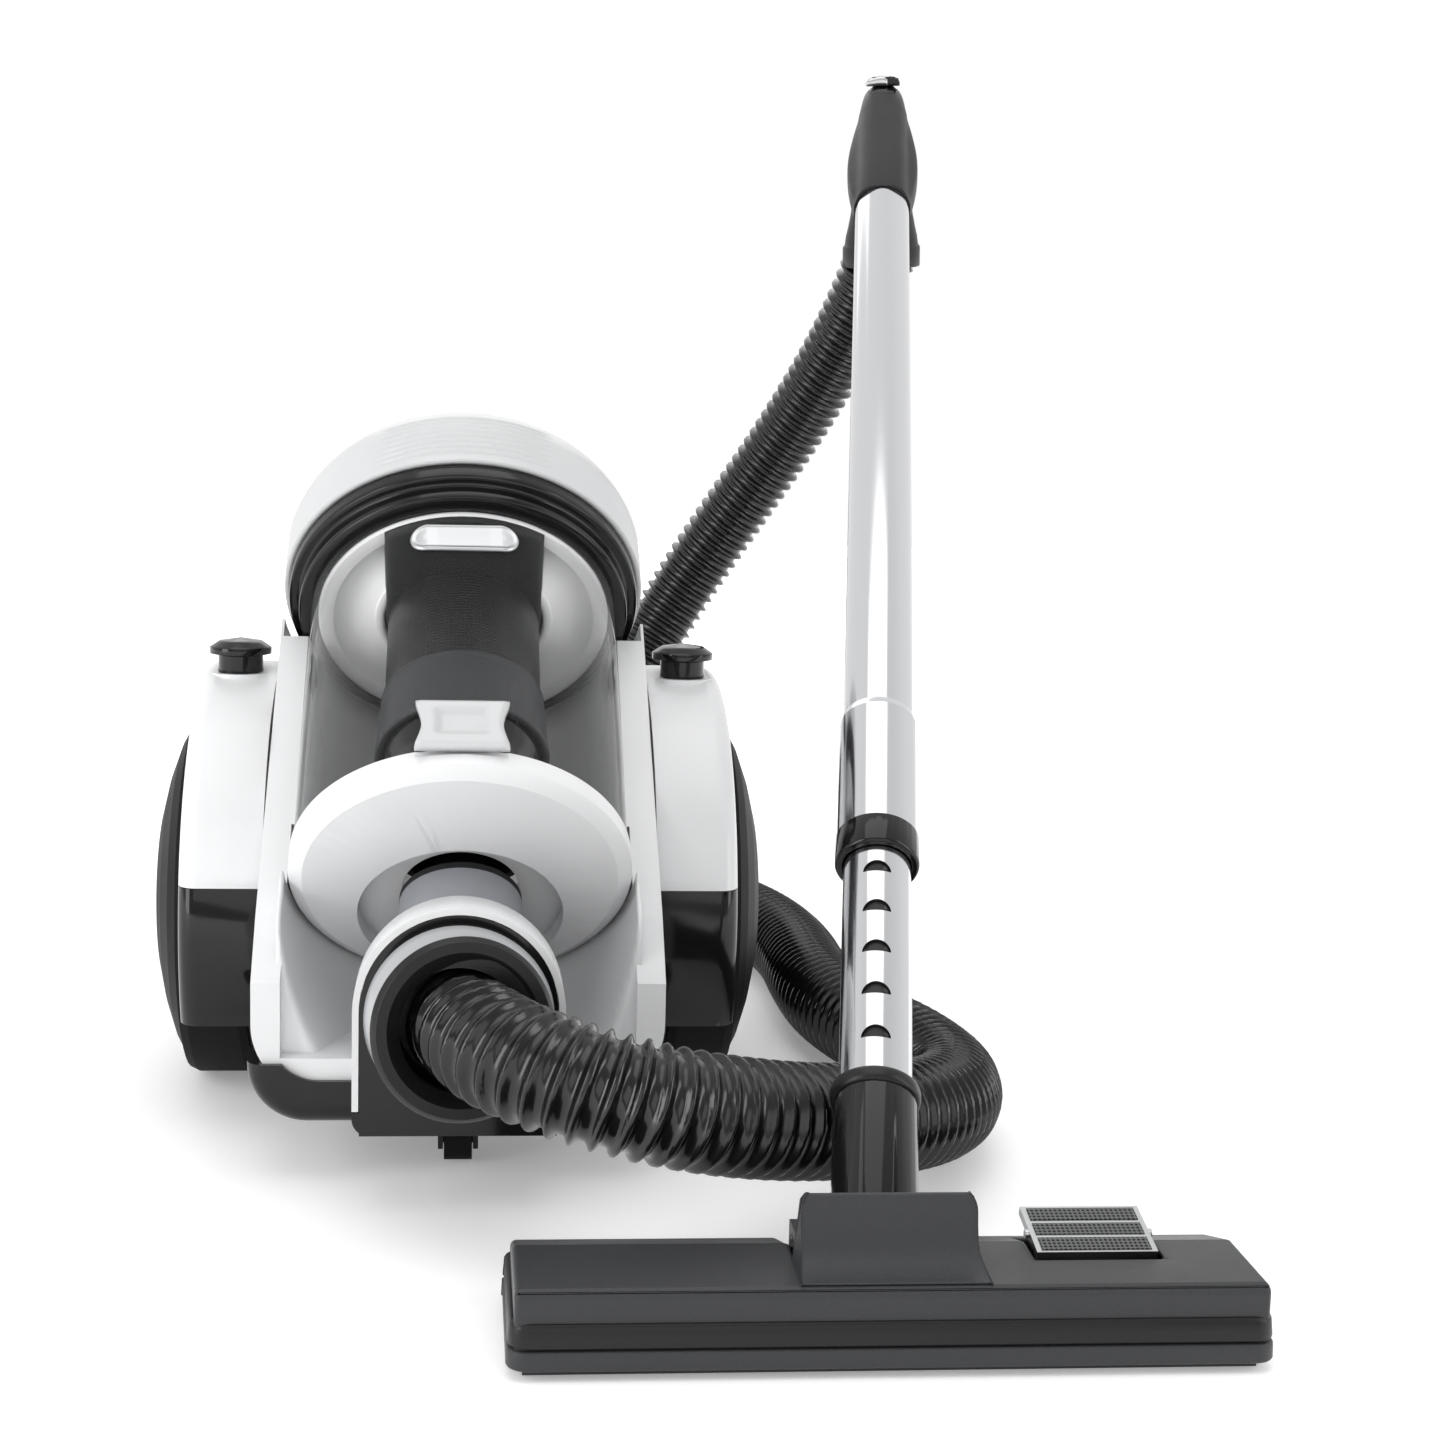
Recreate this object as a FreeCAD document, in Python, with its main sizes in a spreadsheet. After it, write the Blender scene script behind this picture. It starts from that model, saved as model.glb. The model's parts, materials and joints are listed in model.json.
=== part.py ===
import FreeCAD, Part
import math
import os
import re

from FreeCAD import Placement, Rotation, Vector

# Canister vacuum cleaner: canister on two wheels and a caster, lift-off dust container,
# hose, handle, telescopic wand and combination floor nozzle. Millimetres, +Z up, front -Y.
# The origin is on the floor under the middle of the object without its hose.

doc = FreeCAD.newDocument("canister_vacuum")
sheet = doc.addObject("Spreadsheet::Sheet", "sizes")

CELLS = {
    # where the canister stands
    "canister_x": -70, "axle_y": -10, "axle_z": 88,
    # wheels and caster
    "wheel_radius": 88, "tyre_depth": 5, "wheel_in": 97, "wheel_rim": 128, "wheel_crown": 147,
    "arch_radius": 112, "arch_bore": 91, "fender_in": 87, "fender_out": 124, "fender_floor": 48,
    "fender_split": 111, "axle_radius": 7, "caster_y": -150, "caster_radius": 9,
    # chassis and shell
    "body_half": 86, "shell_wall": 3, "tray_floor": 24, "shell_floor": 36.3, "tray_top": 50,
    "body_front": -168, "body_rear": 158,
    # dust container
    "lean": 49.5, "bin_y": -18.6, "bin_z": 235, "bin_length": 173, "bin_radius": 71,
    "bin_wall": 2.5, "ring_radius": 82, "cap_radius": 72.4, "cowl_radius": 84.5,
    "trough_radius": 74, "duct_radius": 26, "duct_offset": 14,
    # snout and hose ends
    "snout_front": -214, "snout_half": 42, "snout_z": 82, "hose_radius": 23,
    "hose_wall": 2.5,
    # wand, measured from the foot of the inner tube
    "wand_x": 86, "wand_y": -275, "wand_z": 74, "wand_top_x": 168.9, "wand_top_y": 200,
    "wand_top_z": 451, "outer_radius": 15.3, "outer_bore": 14.3, "inner_radius": 13.8,
    "inner_bore": 12.9, "running_gap": 0.05, "sleeve_low": 103, "sleeve_mid": 118,
    "sleeve_top": 187, "wand_twist": -8, "handle_radius": 18, "handle_start": 602,
    "handle_bend": 700, "handle_arc": 40, "handle_turn": 118,
    # floor nozzle, measured from its pivot
    "pivot_x": 77, "pivot_y": -331.5, "pivot_z": 29, "nozzle_half": 128, "nozzle_front": -39,
    "nozzle_back": 26, "nozzle_top": 30, "nozzle_top_back": 24, "bumper_half": 131,
    "barrel_radius": 15, "neck_radius": 15.7,
}

for row, (alias, value) in enumerate(CELLS.items(), start=1):
    sheet.set(f"A{row}", alias)
    sheet.set(f"B{row}", str(value))
    sheet.setAlias(f"B{row}", alias)
doc.recompute()

PARTS = []


class Size:
    """The sheet's cells as numbers: size.wheel_radius."""

    def __getattr__(self, alias):
        return float(getattr(sheet, alias))


size = Size()


def formula(text):
    """A formula written with bare cell names, as an expression on the sheet."""
    return re.sub(r"[a-z_]{3,}", lambda m: f"sizes.{m[0]}" if m[0] in CELLS else m[0], str(text))


def eval_formula(text):
    """The number that a formula of cell names gives."""
    return float(sheet.evalExpression(formula(text)))


# ---------------------------------------------------------------- places


def place(x=0, y=0, z=0, rotation=None):
    return Placement(Vector(x, y, z), rotation or Rotation())


ROW = place()
CANISTER = place(size.canister_x, size.axle_y, 0)
LEAN = math.radians(size.lean)
# the container's own frame: origin at its top ring, +Z up its axis, +Y to the rear and down
CONTAINER = CANISTER * place(
    0, size.bin_y, size.bin_z, Rotation(Vector(1, 0, 0), -size.lean))
WAND_UP = Vector(size.wand_top_x - size.wand_x, size.wand_top_y - size.wand_y,
                 size.wand_top_z - size.wand_z)
WAND = place(size.wand_x, size.wand_y, size.wand_z,
             Rotation(Vector(1, 0, 0), Vector(), WAND_UP, "ZXY")
             * Rotation(Vector(0, 0, 1), size.wand_twist))
NOZZLE = place(size.pivot_x, size.pivot_y, size.pivot_z)

ALONG_X = Rotation(Vector(0, 1, 0), 90)
ALONG_Y = Rotation(Vector(1, 0, 0), -90)


# ---------------------------------------------------------------- building blocks


def part(kind, name, frame, spot, **formulas):
    """A primitive or boolean whose sizes are formulas on the sheet."""
    made = doc.addObject(kind, name)
    for prop, text in formulas.items():
        made.setExpression(prop, formula(text))
    made.Placement = frame * spot
    return made


def rod(name, frame, spot, radius, length):
    return part("Part::Cylinder", name, frame, spot, Radius=radius, Height=length)


def ball(name, frame, spot, radius):
    return part("Part::Sphere", name, frame, spot, Radius=radius)


def block(name, frame, low, high):
    """A box between two corners, each a list of three formulas."""
    corner = [eval_formula(text) for text in low]
    sides = [f"({b}) - ({a})" for a, b in zip(low, high)]
    return part("Part::Box", name, frame, place(*corner),
                Length=sides[0], Width=sides[1], Height=sides[2])


def cut(name, base, *tools):
    """base without the tools."""
    tool = tools[0] if len(tools) == 1 else fuse(name + "_tools", *tools)
    made = doc.addObject("Part::Cut", name)
    made.Base = base
    made.Tool = tool
    return made


def fuse(name, *pieces):
    made = doc.addObject("Part::MultiFuse", name)
    made.Shapes = list(pieces)
    return made


def common(name, *pieces):
    made = doc.addObject("Part::MultiCommon", name)
    made.Shapes = list(pieces)
    return made


def tube(name, frame, spot, outer, inner, length):
    return cut(name, rod(name + "_outside", frame, spot, outer, length),
               rod(name + "_bore", frame, spot, inner, length))


def rounded(name, base, radius, chosen):
    """base with the edges that chosen(edge) accepts rounded."""
    doc.recompute()
    edges = [i for i, edge in enumerate(base.Shape.Edges, start=1) if chosen(edge)]
    if not edges:
        raise RuntimeError(f"{name}: no edge to round")
    made = doc.addObject("Part::Fillet", name)
    made.Base = base
    made.Edges = [(i, radius, radius) for i in edges]
    return made


def runs_along(edge, direction, frame=ROW):
    """True if the edge is straight and parallel to a direction of the frame."""
    if not isinstance(edge.Curve, Part.Line):
        return False
    along = frame.Rotation.multVec(direction)
    return abs(abs(edge.Curve.Direction.dot(along)) - 1) < 1e-6


def outline(name, frame, points, plane, thickness=None, start="0", turn=False):
    """A PartDesign body from a closed outline of formula pairs.

    plane XY: the outline is padded from start along +Z by thickness.
    turn: the pairs are radius and height, and the outline is revolved about Z.
    """
    body = doc.addObject("PartDesign::Body", name)
    sketch = body.newObject("Sketcher::SketchObject", name + "_sketch")
    base = next(f for f in body.Origin.OriginFeatures if f.Role == plane)
    sketch.AttachmentSupport = [(base, "")]
    sketch.MapMode = "FlatFace"
    spots = [Vector(eval_formula(u), eval_formula(v), 0) for u, v in points]
    for here, there in zip(spots, spots[1:] + spots[:1]):
        sketch.addGeometry(Part.LineSegment(here, there), False)
    count = len(points)
    for i in range(count):
        import_constraint(sketch, "Coincident", i, 2, (i + 1) % count, 1)
    for i, (u, v) in enumerate(points):
        bound(sketch, "DistanceX", i, u, spots[i].x)
        bound(sketch, "DistanceY", i, v, spots[i].y)
    if turn:
        solid = body.newObject("PartDesign::Revolution", name + "_turned")
        solid.Profile = sketch
        solid.ReferenceAxis = (sketch, ["V_Axis"])
        solid.Angle = 360
    else:
        solid = body.newObject("PartDesign::Pad", name + "_pad")
        solid.Profile = sketch
        solid.setExpression("Length", formula(thickness))
        sketch.AttachmentOffset = place(0, 0, eval_formula(start))
    body.Tip = solid
    body.Placement = frame
    return body


def import_constraint(sketch, kind, *values):
    import Sketcher
    return sketch.addConstraint(Sketcher.Constraint(kind, *values))


def bound(sketch, kind, line, text, number):
    """Ties the start of a line to the sheet, measured from the sketch's origin."""
    if abs(number) < 1e-9 and str(text) == "0":
        axis = -2 if kind == "DistanceX" else -1
        import_constraint(sketch, "PointOnObject", line, 1, axis)
        return
    which = import_constraint(sketch, kind, -1, 1, line, 1, number)
    sketch.setExpression(f"Constraints[{which}]", formula(text))


def turned(name, frame, points):
    """A solid of revolution about the frame's Z from (radius, height) pairs."""
    return outline(name, frame, points, "XZ_Plane", turn=True)


def side_profile(name, frame, points, half):
    """A solid from a side outline of (y, z) pairs, running from -half to +half in x."""
    return outline(name, frame, points, "YZ_Plane", f"2 * ({half})", f"-({half})")


def keep(node, made):
    """Names a finished sub-part."""
    made.Label = node
    PARTS.append(made)
    return made


def keep_shape(node, shape):
    """A sub-part whose shape the macro makes itself."""
    made = doc.addObject("Part::Feature", node + "_shape")
    made.Shape = shape
    return keep(node, made)


def mirrored(node, made):
    """The same piece on the other side of the canister's middle plane."""
    twin = doc.addObject("Part::Mirroring", node + "_twin")
    twin.Source = made
    twin.Normal = Vector(1, 0, 0)
    twin.Base = Vector(size.canister_x, 0, 0)
    return keep(node, twin)


# ---------------------------------------------------------------- wheels


def wheels():
    """Left wheel, tyre and hub cap about the axle, then their mirror images."""
    axle = CANISTER * place(0, 0, size.axle_z, Rotation(Vector(0, 1, 0), -90))
    solid = turned("disc_solid", axle, [
        ("axle_radius + running_gap", "wheel_in"), ("wheel_radius - tyre_depth", "wheel_in"),
        ("wheel_radius - tyre_depth", "wheel_rim"), ("wheel_radius - 14", "wheel_rim + 5"),
        ("60", "wheel_rim + 10"), ("44", "wheel_rim + 14"), ("26", "wheel_crown - 3"),
        ("21.2", "wheel_crown - 2"), ("21.2", "wheel_crown - 6"),
        ("axle_radius + running_gap", "wheel_crown - 6")])
    hollow = turned("disc_hollow", axle, [
        ("13", "wheel_in + 2.5"), ("13", "wheel_crown - 9.5"), ("26", "wheel_crown - 7"),
        ("44", "wheel_rim + 10.5"), ("60", "wheel_rim + 6.5"),
        ("wheel_radius - 16", "wheel_rim + 1.5"), ("wheel_radius - tyre_depth - 4", "wheel_rim - 4"),
        ("wheel_radius - tyre_depth - 4", "wheel_in + 2.5")])
    disc = cut("disc", solid, hollow)
    tyre = turned("tread", axle, [
        ("wheel_radius - tyre_depth", "wheel_in + 1"), ("wheel_radius - 2", "wheel_in + 1"),
        ("wheel_radius", "wheel_in + 4"), ("wheel_radius", "wheel_rim - 4"),
        ("wheel_radius - 2", "wheel_rim"), ("wheel_radius - tyre_depth", "wheel_rim")])
    hub = turned("hub", axle, [
        ("0", "wheel_crown - 6"), ("21", "wheel_crown - 6"), ("21", "wheel_crown - 2"),
        ("12", "wheel_crown - 0.6"), ("0", "wheel_crown")])
    for node, made in (("wheel", disc), ("tyre", tyre), ("hub_cap", hub)):
        keep(node + "_left", made)
        mirrored(node + "_right", made)
    pins = [rod(f"axle_{i}", CANISTER, place(start, 0, size.axle_z, ALONG_X), "axle_radius", "54.3")
            for i, start in enumerate((-140.6, 86.3))]
    keep("wheel_axles", fuse("axles", *pins))


def caster():
    """Swivelling front caster in a socket of the chassis."""
    middle = CANISTER * place(0, size.caster_y, 0)
    plate = rod("fork_plate", middle, place(0, 0, 19), "13", "4.6")
    kingpin = rod("fork_pin", middle, place(0, 0, 20), "4", "14")
    cheeks = [block(f"fork_cheek_{i}", middle, [x, "1", "6.5"], [f"{x} + 2.2", "15", "20"])
              for i, x in enumerate(("-8.6", "6.4"))]
    pin = rod("fork_axle", middle, place(-8.6, 8, 9, ALONG_X), "2", "17.2")
    keep("caster_fork", fuse("fork", plate, kingpin, *cheeks, pin))
    keep("caster_roller", tube("roller", middle, place(-6, 8, 9, ALONG_X),
                               "caster_radius", "2 + running_gap", "12"))


# ---------------------------------------------------------------- canister


# the screws that hold the tray to the shell, as x and y from the middle of the axle
SCREWS = ((-73, -60), (73, -60), (-73, 120), (73, 120))


def trough(name, radius, low="-bin_length - 1.5", length="bin_length + 160"):
    """The space of the leaning container."""
    return rod(name, CONTAINER, place(0, 0, eval_formula(low)), radius, length)


def chassis():
    """Black tray under the shell, with the lower halves of both wheel arches."""
    half = "body_half + 2"
    outer = block("tray_block", CANISTER, [f"-({half})", "body_front - 3", "tray_floor"],
                  [half, "body_rear + 3", "tray_top"])
    outer = rounded("tray_round", outer, 25, lambda e: runs_along(e, Vector(0, 1, 0))
                    and e.CenterOfMass.z < size.tray_floor + 1)
    outer = rounded("tray_nose", outer, 9, lambda e: e.CenterOfMass.z < size.tray_floor + 8
                    and not runs_along(e, Vector(0, 1, 0)))
    inner = shell_solid("tray_inner", "body_half + 0.3", "shell_floor - 0.3", "body_front - 0.3",
                        "body_rear + 0.3")
    socket = rod("caster_boss", CANISTER, place(0, size.caster_y, 24), "9", "10")
    bore = rod("caster_bore", CANISTER, place(0, size.caster_y, 20), "4 + running_gap", "18")
    window = block("tray_window", CANISTER, ["-body_half + 8", "body_front - 6", "tray_floor + 19"],
                   ["body_half - 8", "body_front + 1", "tray_top + 30"])
    window = rounded("tray_window_round", window, 20, lambda e: runs_along(e, Vector(0, 1, 0))
                     and e.CenterOfMass.z < size.tray_top)
    pocket = block("tray_pocket", CANISTER, ["-64", "-120", "tray_floor + 3"],
                   ["64", "146", "shell_floor"])
    holes = [rod(f"screw_hole_{i}", CANISTER, place(x, y, 20), "3.2", "30")
             for i, (x, y) in enumerate(SCREWS)]
    tray = cut("tray_open", fuse("tray_boss", cut("tray_cup", outer, inner), socket), bore,
               pocket, window, *holes)
    arches = [cut(f"arch_low_{i}", arch(f"low_{i}", sign), above(f"low_{i}"))
              for i, sign in enumerate((-1, 1))]
    keep("lower_chassis", fuse("chassis", tray, *arches))


def above(name):
    return block("above_" + name, CANISTER, ["-200", "-200", "fender_split"], ["200", "200", "400"])


def arch(name, sign):
    """A hollow wheel arch on one side: an open U-section ring about the axle and a side disc."""
    start = size.fender_in if sign > 0 else -size.fender_out
    inner_start = size.fender_in if sign > 0 else -size.fender_in - 26
    bore_start = size.fender_in + 7 if sign > 0 else -size.fender_out - 1
    outer = rod("arch_" + name, CANISTER, place(start, 0, size.axle_z, ALONG_X),
                "arch_radius", "fender_out - fender_in")
    outer = rounded("arch_round_" + name, outer, 9,
                    lambda e: abs(e.CenterOfMass.x - size.canister_x) > size.fender_out - 1)
    hollow = cut("arch_hollow_" + name,
                 rod("arch_in_a_" + name, CANISTER, place(inner_start, 0, size.axle_z, ALONG_X),
                     "arch_radius - 3", "26"),
                 rod("arch_in_b_" + name, CANISTER, place(inner_start - 1, 0, size.axle_z, ALONG_X),
                     "arch_bore + 3", "28"))
    bore = rod("arch_bore_" + name, CANISTER, place(bore_start, 0, size.axle_z, ALONG_X),
               "arch_bore", "31")
    hole = rod("arch_hole_" + name, CANISTER, place(start, 0, size.axle_z, ALONG_X),
               "axle_radius", "40")
    below = block("arch_below_" + name, CANISTER, ["-200", "-200", "-40"],
                  ["200", "200", "fender_floor"])
    return cut("arch_cut_" + name, outer, hollow, bore, hole, below)


def fenders():
    """White upper halves of the wheel arches, with a pad for the push button."""
    made = cut("fender_top", arch("top", -1), block("fender_low", CANISTER, ["-200", "-200", "0"],
                                                    ["200", "200", "fender_split + 0.2"]))
    boss = rod("button_boss", CANISTER, place(-105, -20, 180), "14", "17")
    well = rod("button_well", CANISTER, place(-105, -20, 181), "10.55", "40")
    made = cut("fender_done", fuse("fender_boss", made, boss), well)
    keep("fender_left", made)
    mirrored("fender_right", made)


def shell_solid(name, half, floor, front, rear, wall="0"):
    """The form of the middle body, to a given half width, floor, front and rear.

    wall: how far its top lies inside the outer form.
    """
    body = side_profile(name + "_side", CANISTER, [
        (front, floor), (front, f"84 - 0.4 * {wall}"), (f"-146 + 0.4 * {wall}", f"108 - 1.2 * {wall}"),
        ("-15", f"222 - 1.5 * {wall}"), ("34", f"156 - 1.3 * {wall}"),
        (f"58 + 0.6 * {wall}", f"182 - 1.2 * {wall}"), ("98", f"186 - {wall}"),
        (f"{rear} - 14", f"176 - {wall}"), (rear, f"160 - 0.6 * {wall}"), (rear, floor)], half)
    return rounded(name, body, 30, lambda e: runs_along(e, Vector(1, 0, 0)) is False
                   and runs_along(e, Vector(0, 1, 0))
                   and abs(e.CenterOfMass.z - eval_formula(floor)) < 1)


def shell():
    """White middle body: cradle for the container, snout tunnel and motor hump."""
    outer = shell_solid("shell_outer", "body_half", "shell_floor", "body_front", "body_rear")
    inner = shell_solid("shell_inner", "body_half - shell_wall", "shell_floor + shell_wall",
                        "body_front + shell_wall", "body_rear - shell_wall", "shell_wall")
    inner = cut("shell_room", inner, trough("trough_wall", "trough_radius + shell_wall",
                                            "-bin_length - 1.5 - shell_wall"))
    recess = front_recess("recess", "0")
    panel = common("recess_panel", outer, cut("recess_skin", front_recess("recess_wall", "shell_wall"),
                                              recess))
    tunnel = fuse("tunnel", snout_form("tunnel_rim", "snout_half", "snout_front", "44", "24"),
                  block("tunnel_sides", CANISTER, ["-snout_half", "snout_front", "44"],
                        ["snout_half", "body_front + 1", "snout_z + 2"]))
    tunnel_room = snout_form("tunnel_room", "snout_half - 2.6", "snout_front - 1", "40", "72")
    vents = [block(f"vent_{i}", CANISTER, [f"{-44 + 11 * i}", "body_rear - 5", "118"],
                   [f"{-44 + 11 * i + 6}", "body_rear + 2", "148"]) for i in range(9)]
    outlet = rod("outlet_hole", CANISTER, place(-62, size.body_rear - 8, 70, ALONG_Y), "8", "20")
    top_gap = trough("ring_gap", "ring_radius + 3.5", "-17", "120")
    skin = fuse("shell_skin", cut("shell_recessed", cut("shell_hollow", outer, inner), recess), panel)
    tray_side = cut("shell_solid", fuse("shell_snout", skin, tunnel),
                    trough("trough_main", "trough_radius"), tunnel_room, top_gap, outlet, *vents,
                    below_cap())
    hatch = block("hatch", CANISTER, ["-62", "-90", "30"], ["62", "140", "42"])
    holes = [rod(f"shell_hole_{i}", CANISTER, place(x, y, 30), "2.4", "10.5")
             for i, (x, y) in enumerate(SCREWS)]
    keep("main_shell", cut("shell_done", tray_side, hatch, *holes))


def front_recess(name, wall):
    """The hollow under the container's cap, between the two side rails of the shell."""
    return side_profile(name, CANISTER, [
        ("body_front - 9", f"50 - {wall}"), (f"body_front + {wall}", f"52 - {wall}"),
        ("-140", f"55 - 1.2 * {wall}"), ("-104", f"62 - 1.2 * {wall}"), ("-104", "140"),
        ("body_front - 9", "140")], f"74 + {wall}")


def below_cap():
    """The way of the inlet duct through the cradle's floor."""
    start = eval_formula("-bin_length - 50")
    return rod("duct_way", CONTAINER, place(0, size.duct_offset, start), "duct_radius + 0.5", "60")


def snout_form(name, half, front, low, length):
    """An arch-topped block along Y, the form of the inlet snout."""
    front_y = eval_formula(front)
    round_top = rod(name + "_arch", CANISTER, place(0, front_y, size.snout_z + 2, ALONG_Y),
                    half, length)
    legs = block(name + "_legs", CANISTER, [f"-({half})", front, low],
                 [half, f"{front} + {length}", "snout_z + 2"])
    return fuse(name, round_top, legs)


def snout():
    """Black arched inlet plate with its foot, the duct up to the container and the seals."""
    plate = snout_form("plate_form", "snout_half - 2.9", "snout_front", "34", "6")
    foot = block("plate_foot", CANISTER, ["-snout_half", "snout_front", "34"],
                 ["snout_half", "body_front - 4", "43.5"])
    foot = rounded("plate_foot_round", foot, 7, lambda e: runs_along(e, Vector(0, 1, 0))
                   and e.CenterOfMass.z < 36)
    foot_room = block("plate_foot_room", CANISTER, ["-snout_half + 3", "snout_front + 6", "37"],
                      ["snout_half - 3", "body_front", "50"])
    bore = rod("plate_bore", CANISTER, place(0, size.snout_front - 5, size.snout_z, ALONG_Y),
               "30.3", "20")
    keep("snout_plate", cut("plate", fuse("plate_all", plate, foot), bore, foot_room))

    elbow_y, elbow_z = duct_corner()
    flat = elbow_y - (size.snout_front + 11)
    up = eval_formula("-bin_length - 1") - duct_corner_depth()
    runs = []
    for name, radius in (("out", "duct_radius"), ("in", "duct_radius - 2")):
        extra = 0 if name == "out" else 1
        level = rod(f"duct_level_{name}", CANISTER,
                    place(0, elbow_y - flat - extra, elbow_z, ALONG_Y), radius, f"{flat + extra}")
        rise = rod(f"duct_rise_{name}", CONTAINER, place(0, size.duct_offset, duct_corner_depth()),
                   radius, f"{up + extra}")
        knee = ball(f"duct_knee_{name}", CANISTER, place(0, elbow_y, elbow_z), radius)
        runs.append(fuse(f"duct_{name}", level, rise, knee))
    keep("inlet_duct", cut("duct", *runs))
    keep("inlet_seal", tube("duct_seal", CONTAINER,
                            place(0, size.duct_offset, eval_formula("-bin_length - 1")),
                            "duct_radius", "duct_radius - 5", "3"))


def duct_corner_depth():
    """How far down the container's axis the duct bends to run level to the snout."""
    drop = eval_formula("bin_z") - size.duct_offset * math.sin(LEAN) - size.snout_z
    return -drop / math.cos(LEAN)


def duct_corner():
    depth = duct_corner_depth()
    y = size.bin_y + size.duct_offset * math.cos(LEAN) + depth * math.sin(LEAN)
    return y, size.snout_z


def inside():
    """Motor, filters, cord reel and switch inside the middle body."""
    motor = CANISTER * place(-22, 86, 98, ALONG_X)
    keep("motor_housing", turned("housing", motor, [
        ("8", "0"), ("30", "0"), ("38", "8"), ("38", "50"), ("52", "54"), ("52", "88"),
        ("22", "92"), ("22", "89"), ("49", "85"), ("49", "57"), ("35", "53"), ("35", "11"),
        ("28", "3"), ("8", "3")]))
    keep("motor_rotor", turned("rotor", motor, [
        ("0", "-4"), ("4", "-4"), ("4", "12"), ("24", "14"), ("24", "44"), ("4", "46"),
        ("4", "60"), ("10", "60"), ("44", "66"), ("44", "72"), ("16", "80"), ("10", "84"),
        ("0", "84")]))
    keep("motor_bearing", tube("bearing", motor, place(0, 0, -1), "8", "4 + running_gap", "5"))
    keep("pre_motor_filter", rod("foam", CANISTER, place(71, 86, 98, ALONG_X), "26", "8"))
    reel = CANISTER * place(-66, 10, 84, ALONG_X)
    keep("cord_reel", turned("reel", reel, [
        ("5 + running_gap", "2"), ("39", "2"), ("39", "4"), ("16", "4"), ("16", "34"), ("39", "34"),
        ("39", "36"), ("5 + running_gap", "36")]))
    keep("reel_axle", rod("reel_pin", reel, place(0, 0, -8.8), "5", "48"))
    keep("power_switch", block("switch", CANISTER, ["-109", "-25", "181.2"],
                                ["-101", "-15", "188.2"]))
    keep("exhaust_filter", block("hepa", CANISTER, ["-50", "140", "112"], ["50", "152", "152"]))
    grommet = tube("grommet", CANISTER, place(-62, size.body_rear - 6, 70, ALONG_Y),
                   "7.8", "4", "6")
    flange = tube("grommet_rim", CANISTER, place(-62, size.body_rear, 70, ALONG_Y), "11", "4", "3")
    keep("cord_outlet", fuse("outlet", grommet, flange))


def exhaust():
    """Hinged grille over the exhaust filter at the rear."""
    plate = block("grille_plate", CANISTER, ["-54", "body_rear + 0.4", "113.5"],
                  ["54", "body_rear + 3.4", "154"])
    barrel = rod("grille_barrel", CANISTER, place(-54, size.body_rear + 1.9, 113.5, ALONG_X),
                 "1.5", "108")
    grille = fuse("grille_body", plate, barrel)
    slots = [block(f"grille_slot_{i}", CANISTER, [f"{-46 + 11 * i}", "body_rear - 1", "118"],
                   [f"{-46 + 11 * i + 5}", "body_rear + 5", "148"]) for i in range(9)]
    keep("exhaust_grille", cut("grille", grille, *slots))


def buttons():
    """Mushroom push buttons: power on the left, cord rewind on the right."""
    made = turned("mushroom", CANISTER * place(-105, -20, 0), [
        ("0", "192"), ("10.5", "192"), ("10.5", "205"), ("14.5", "206"), ("14.5", "209"),
        ("10", "212"), ("0", "213.5")])
    keep("power_button", made)
    mirrored("rewind_button", made)


def screws():
    """Four screws that hold the shell to the tray from below."""
    heads = [rod(f"screw_head_{i}", CANISTER, place(x, y, 24.6), "3.15", "3")
             for i, (x, y) in enumerate(SCREWS)]
    stems = [rod(f"screw_stem_{i}", CANISTER, place(x, y, 26), "2.4", "13.5")
             for i, (x, y) in enumerate(SCREWS)]
    keep("chassis_screws", fuse("screws", *heads, *stems))


# ---------------------------------------------------------------- dust container


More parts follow.
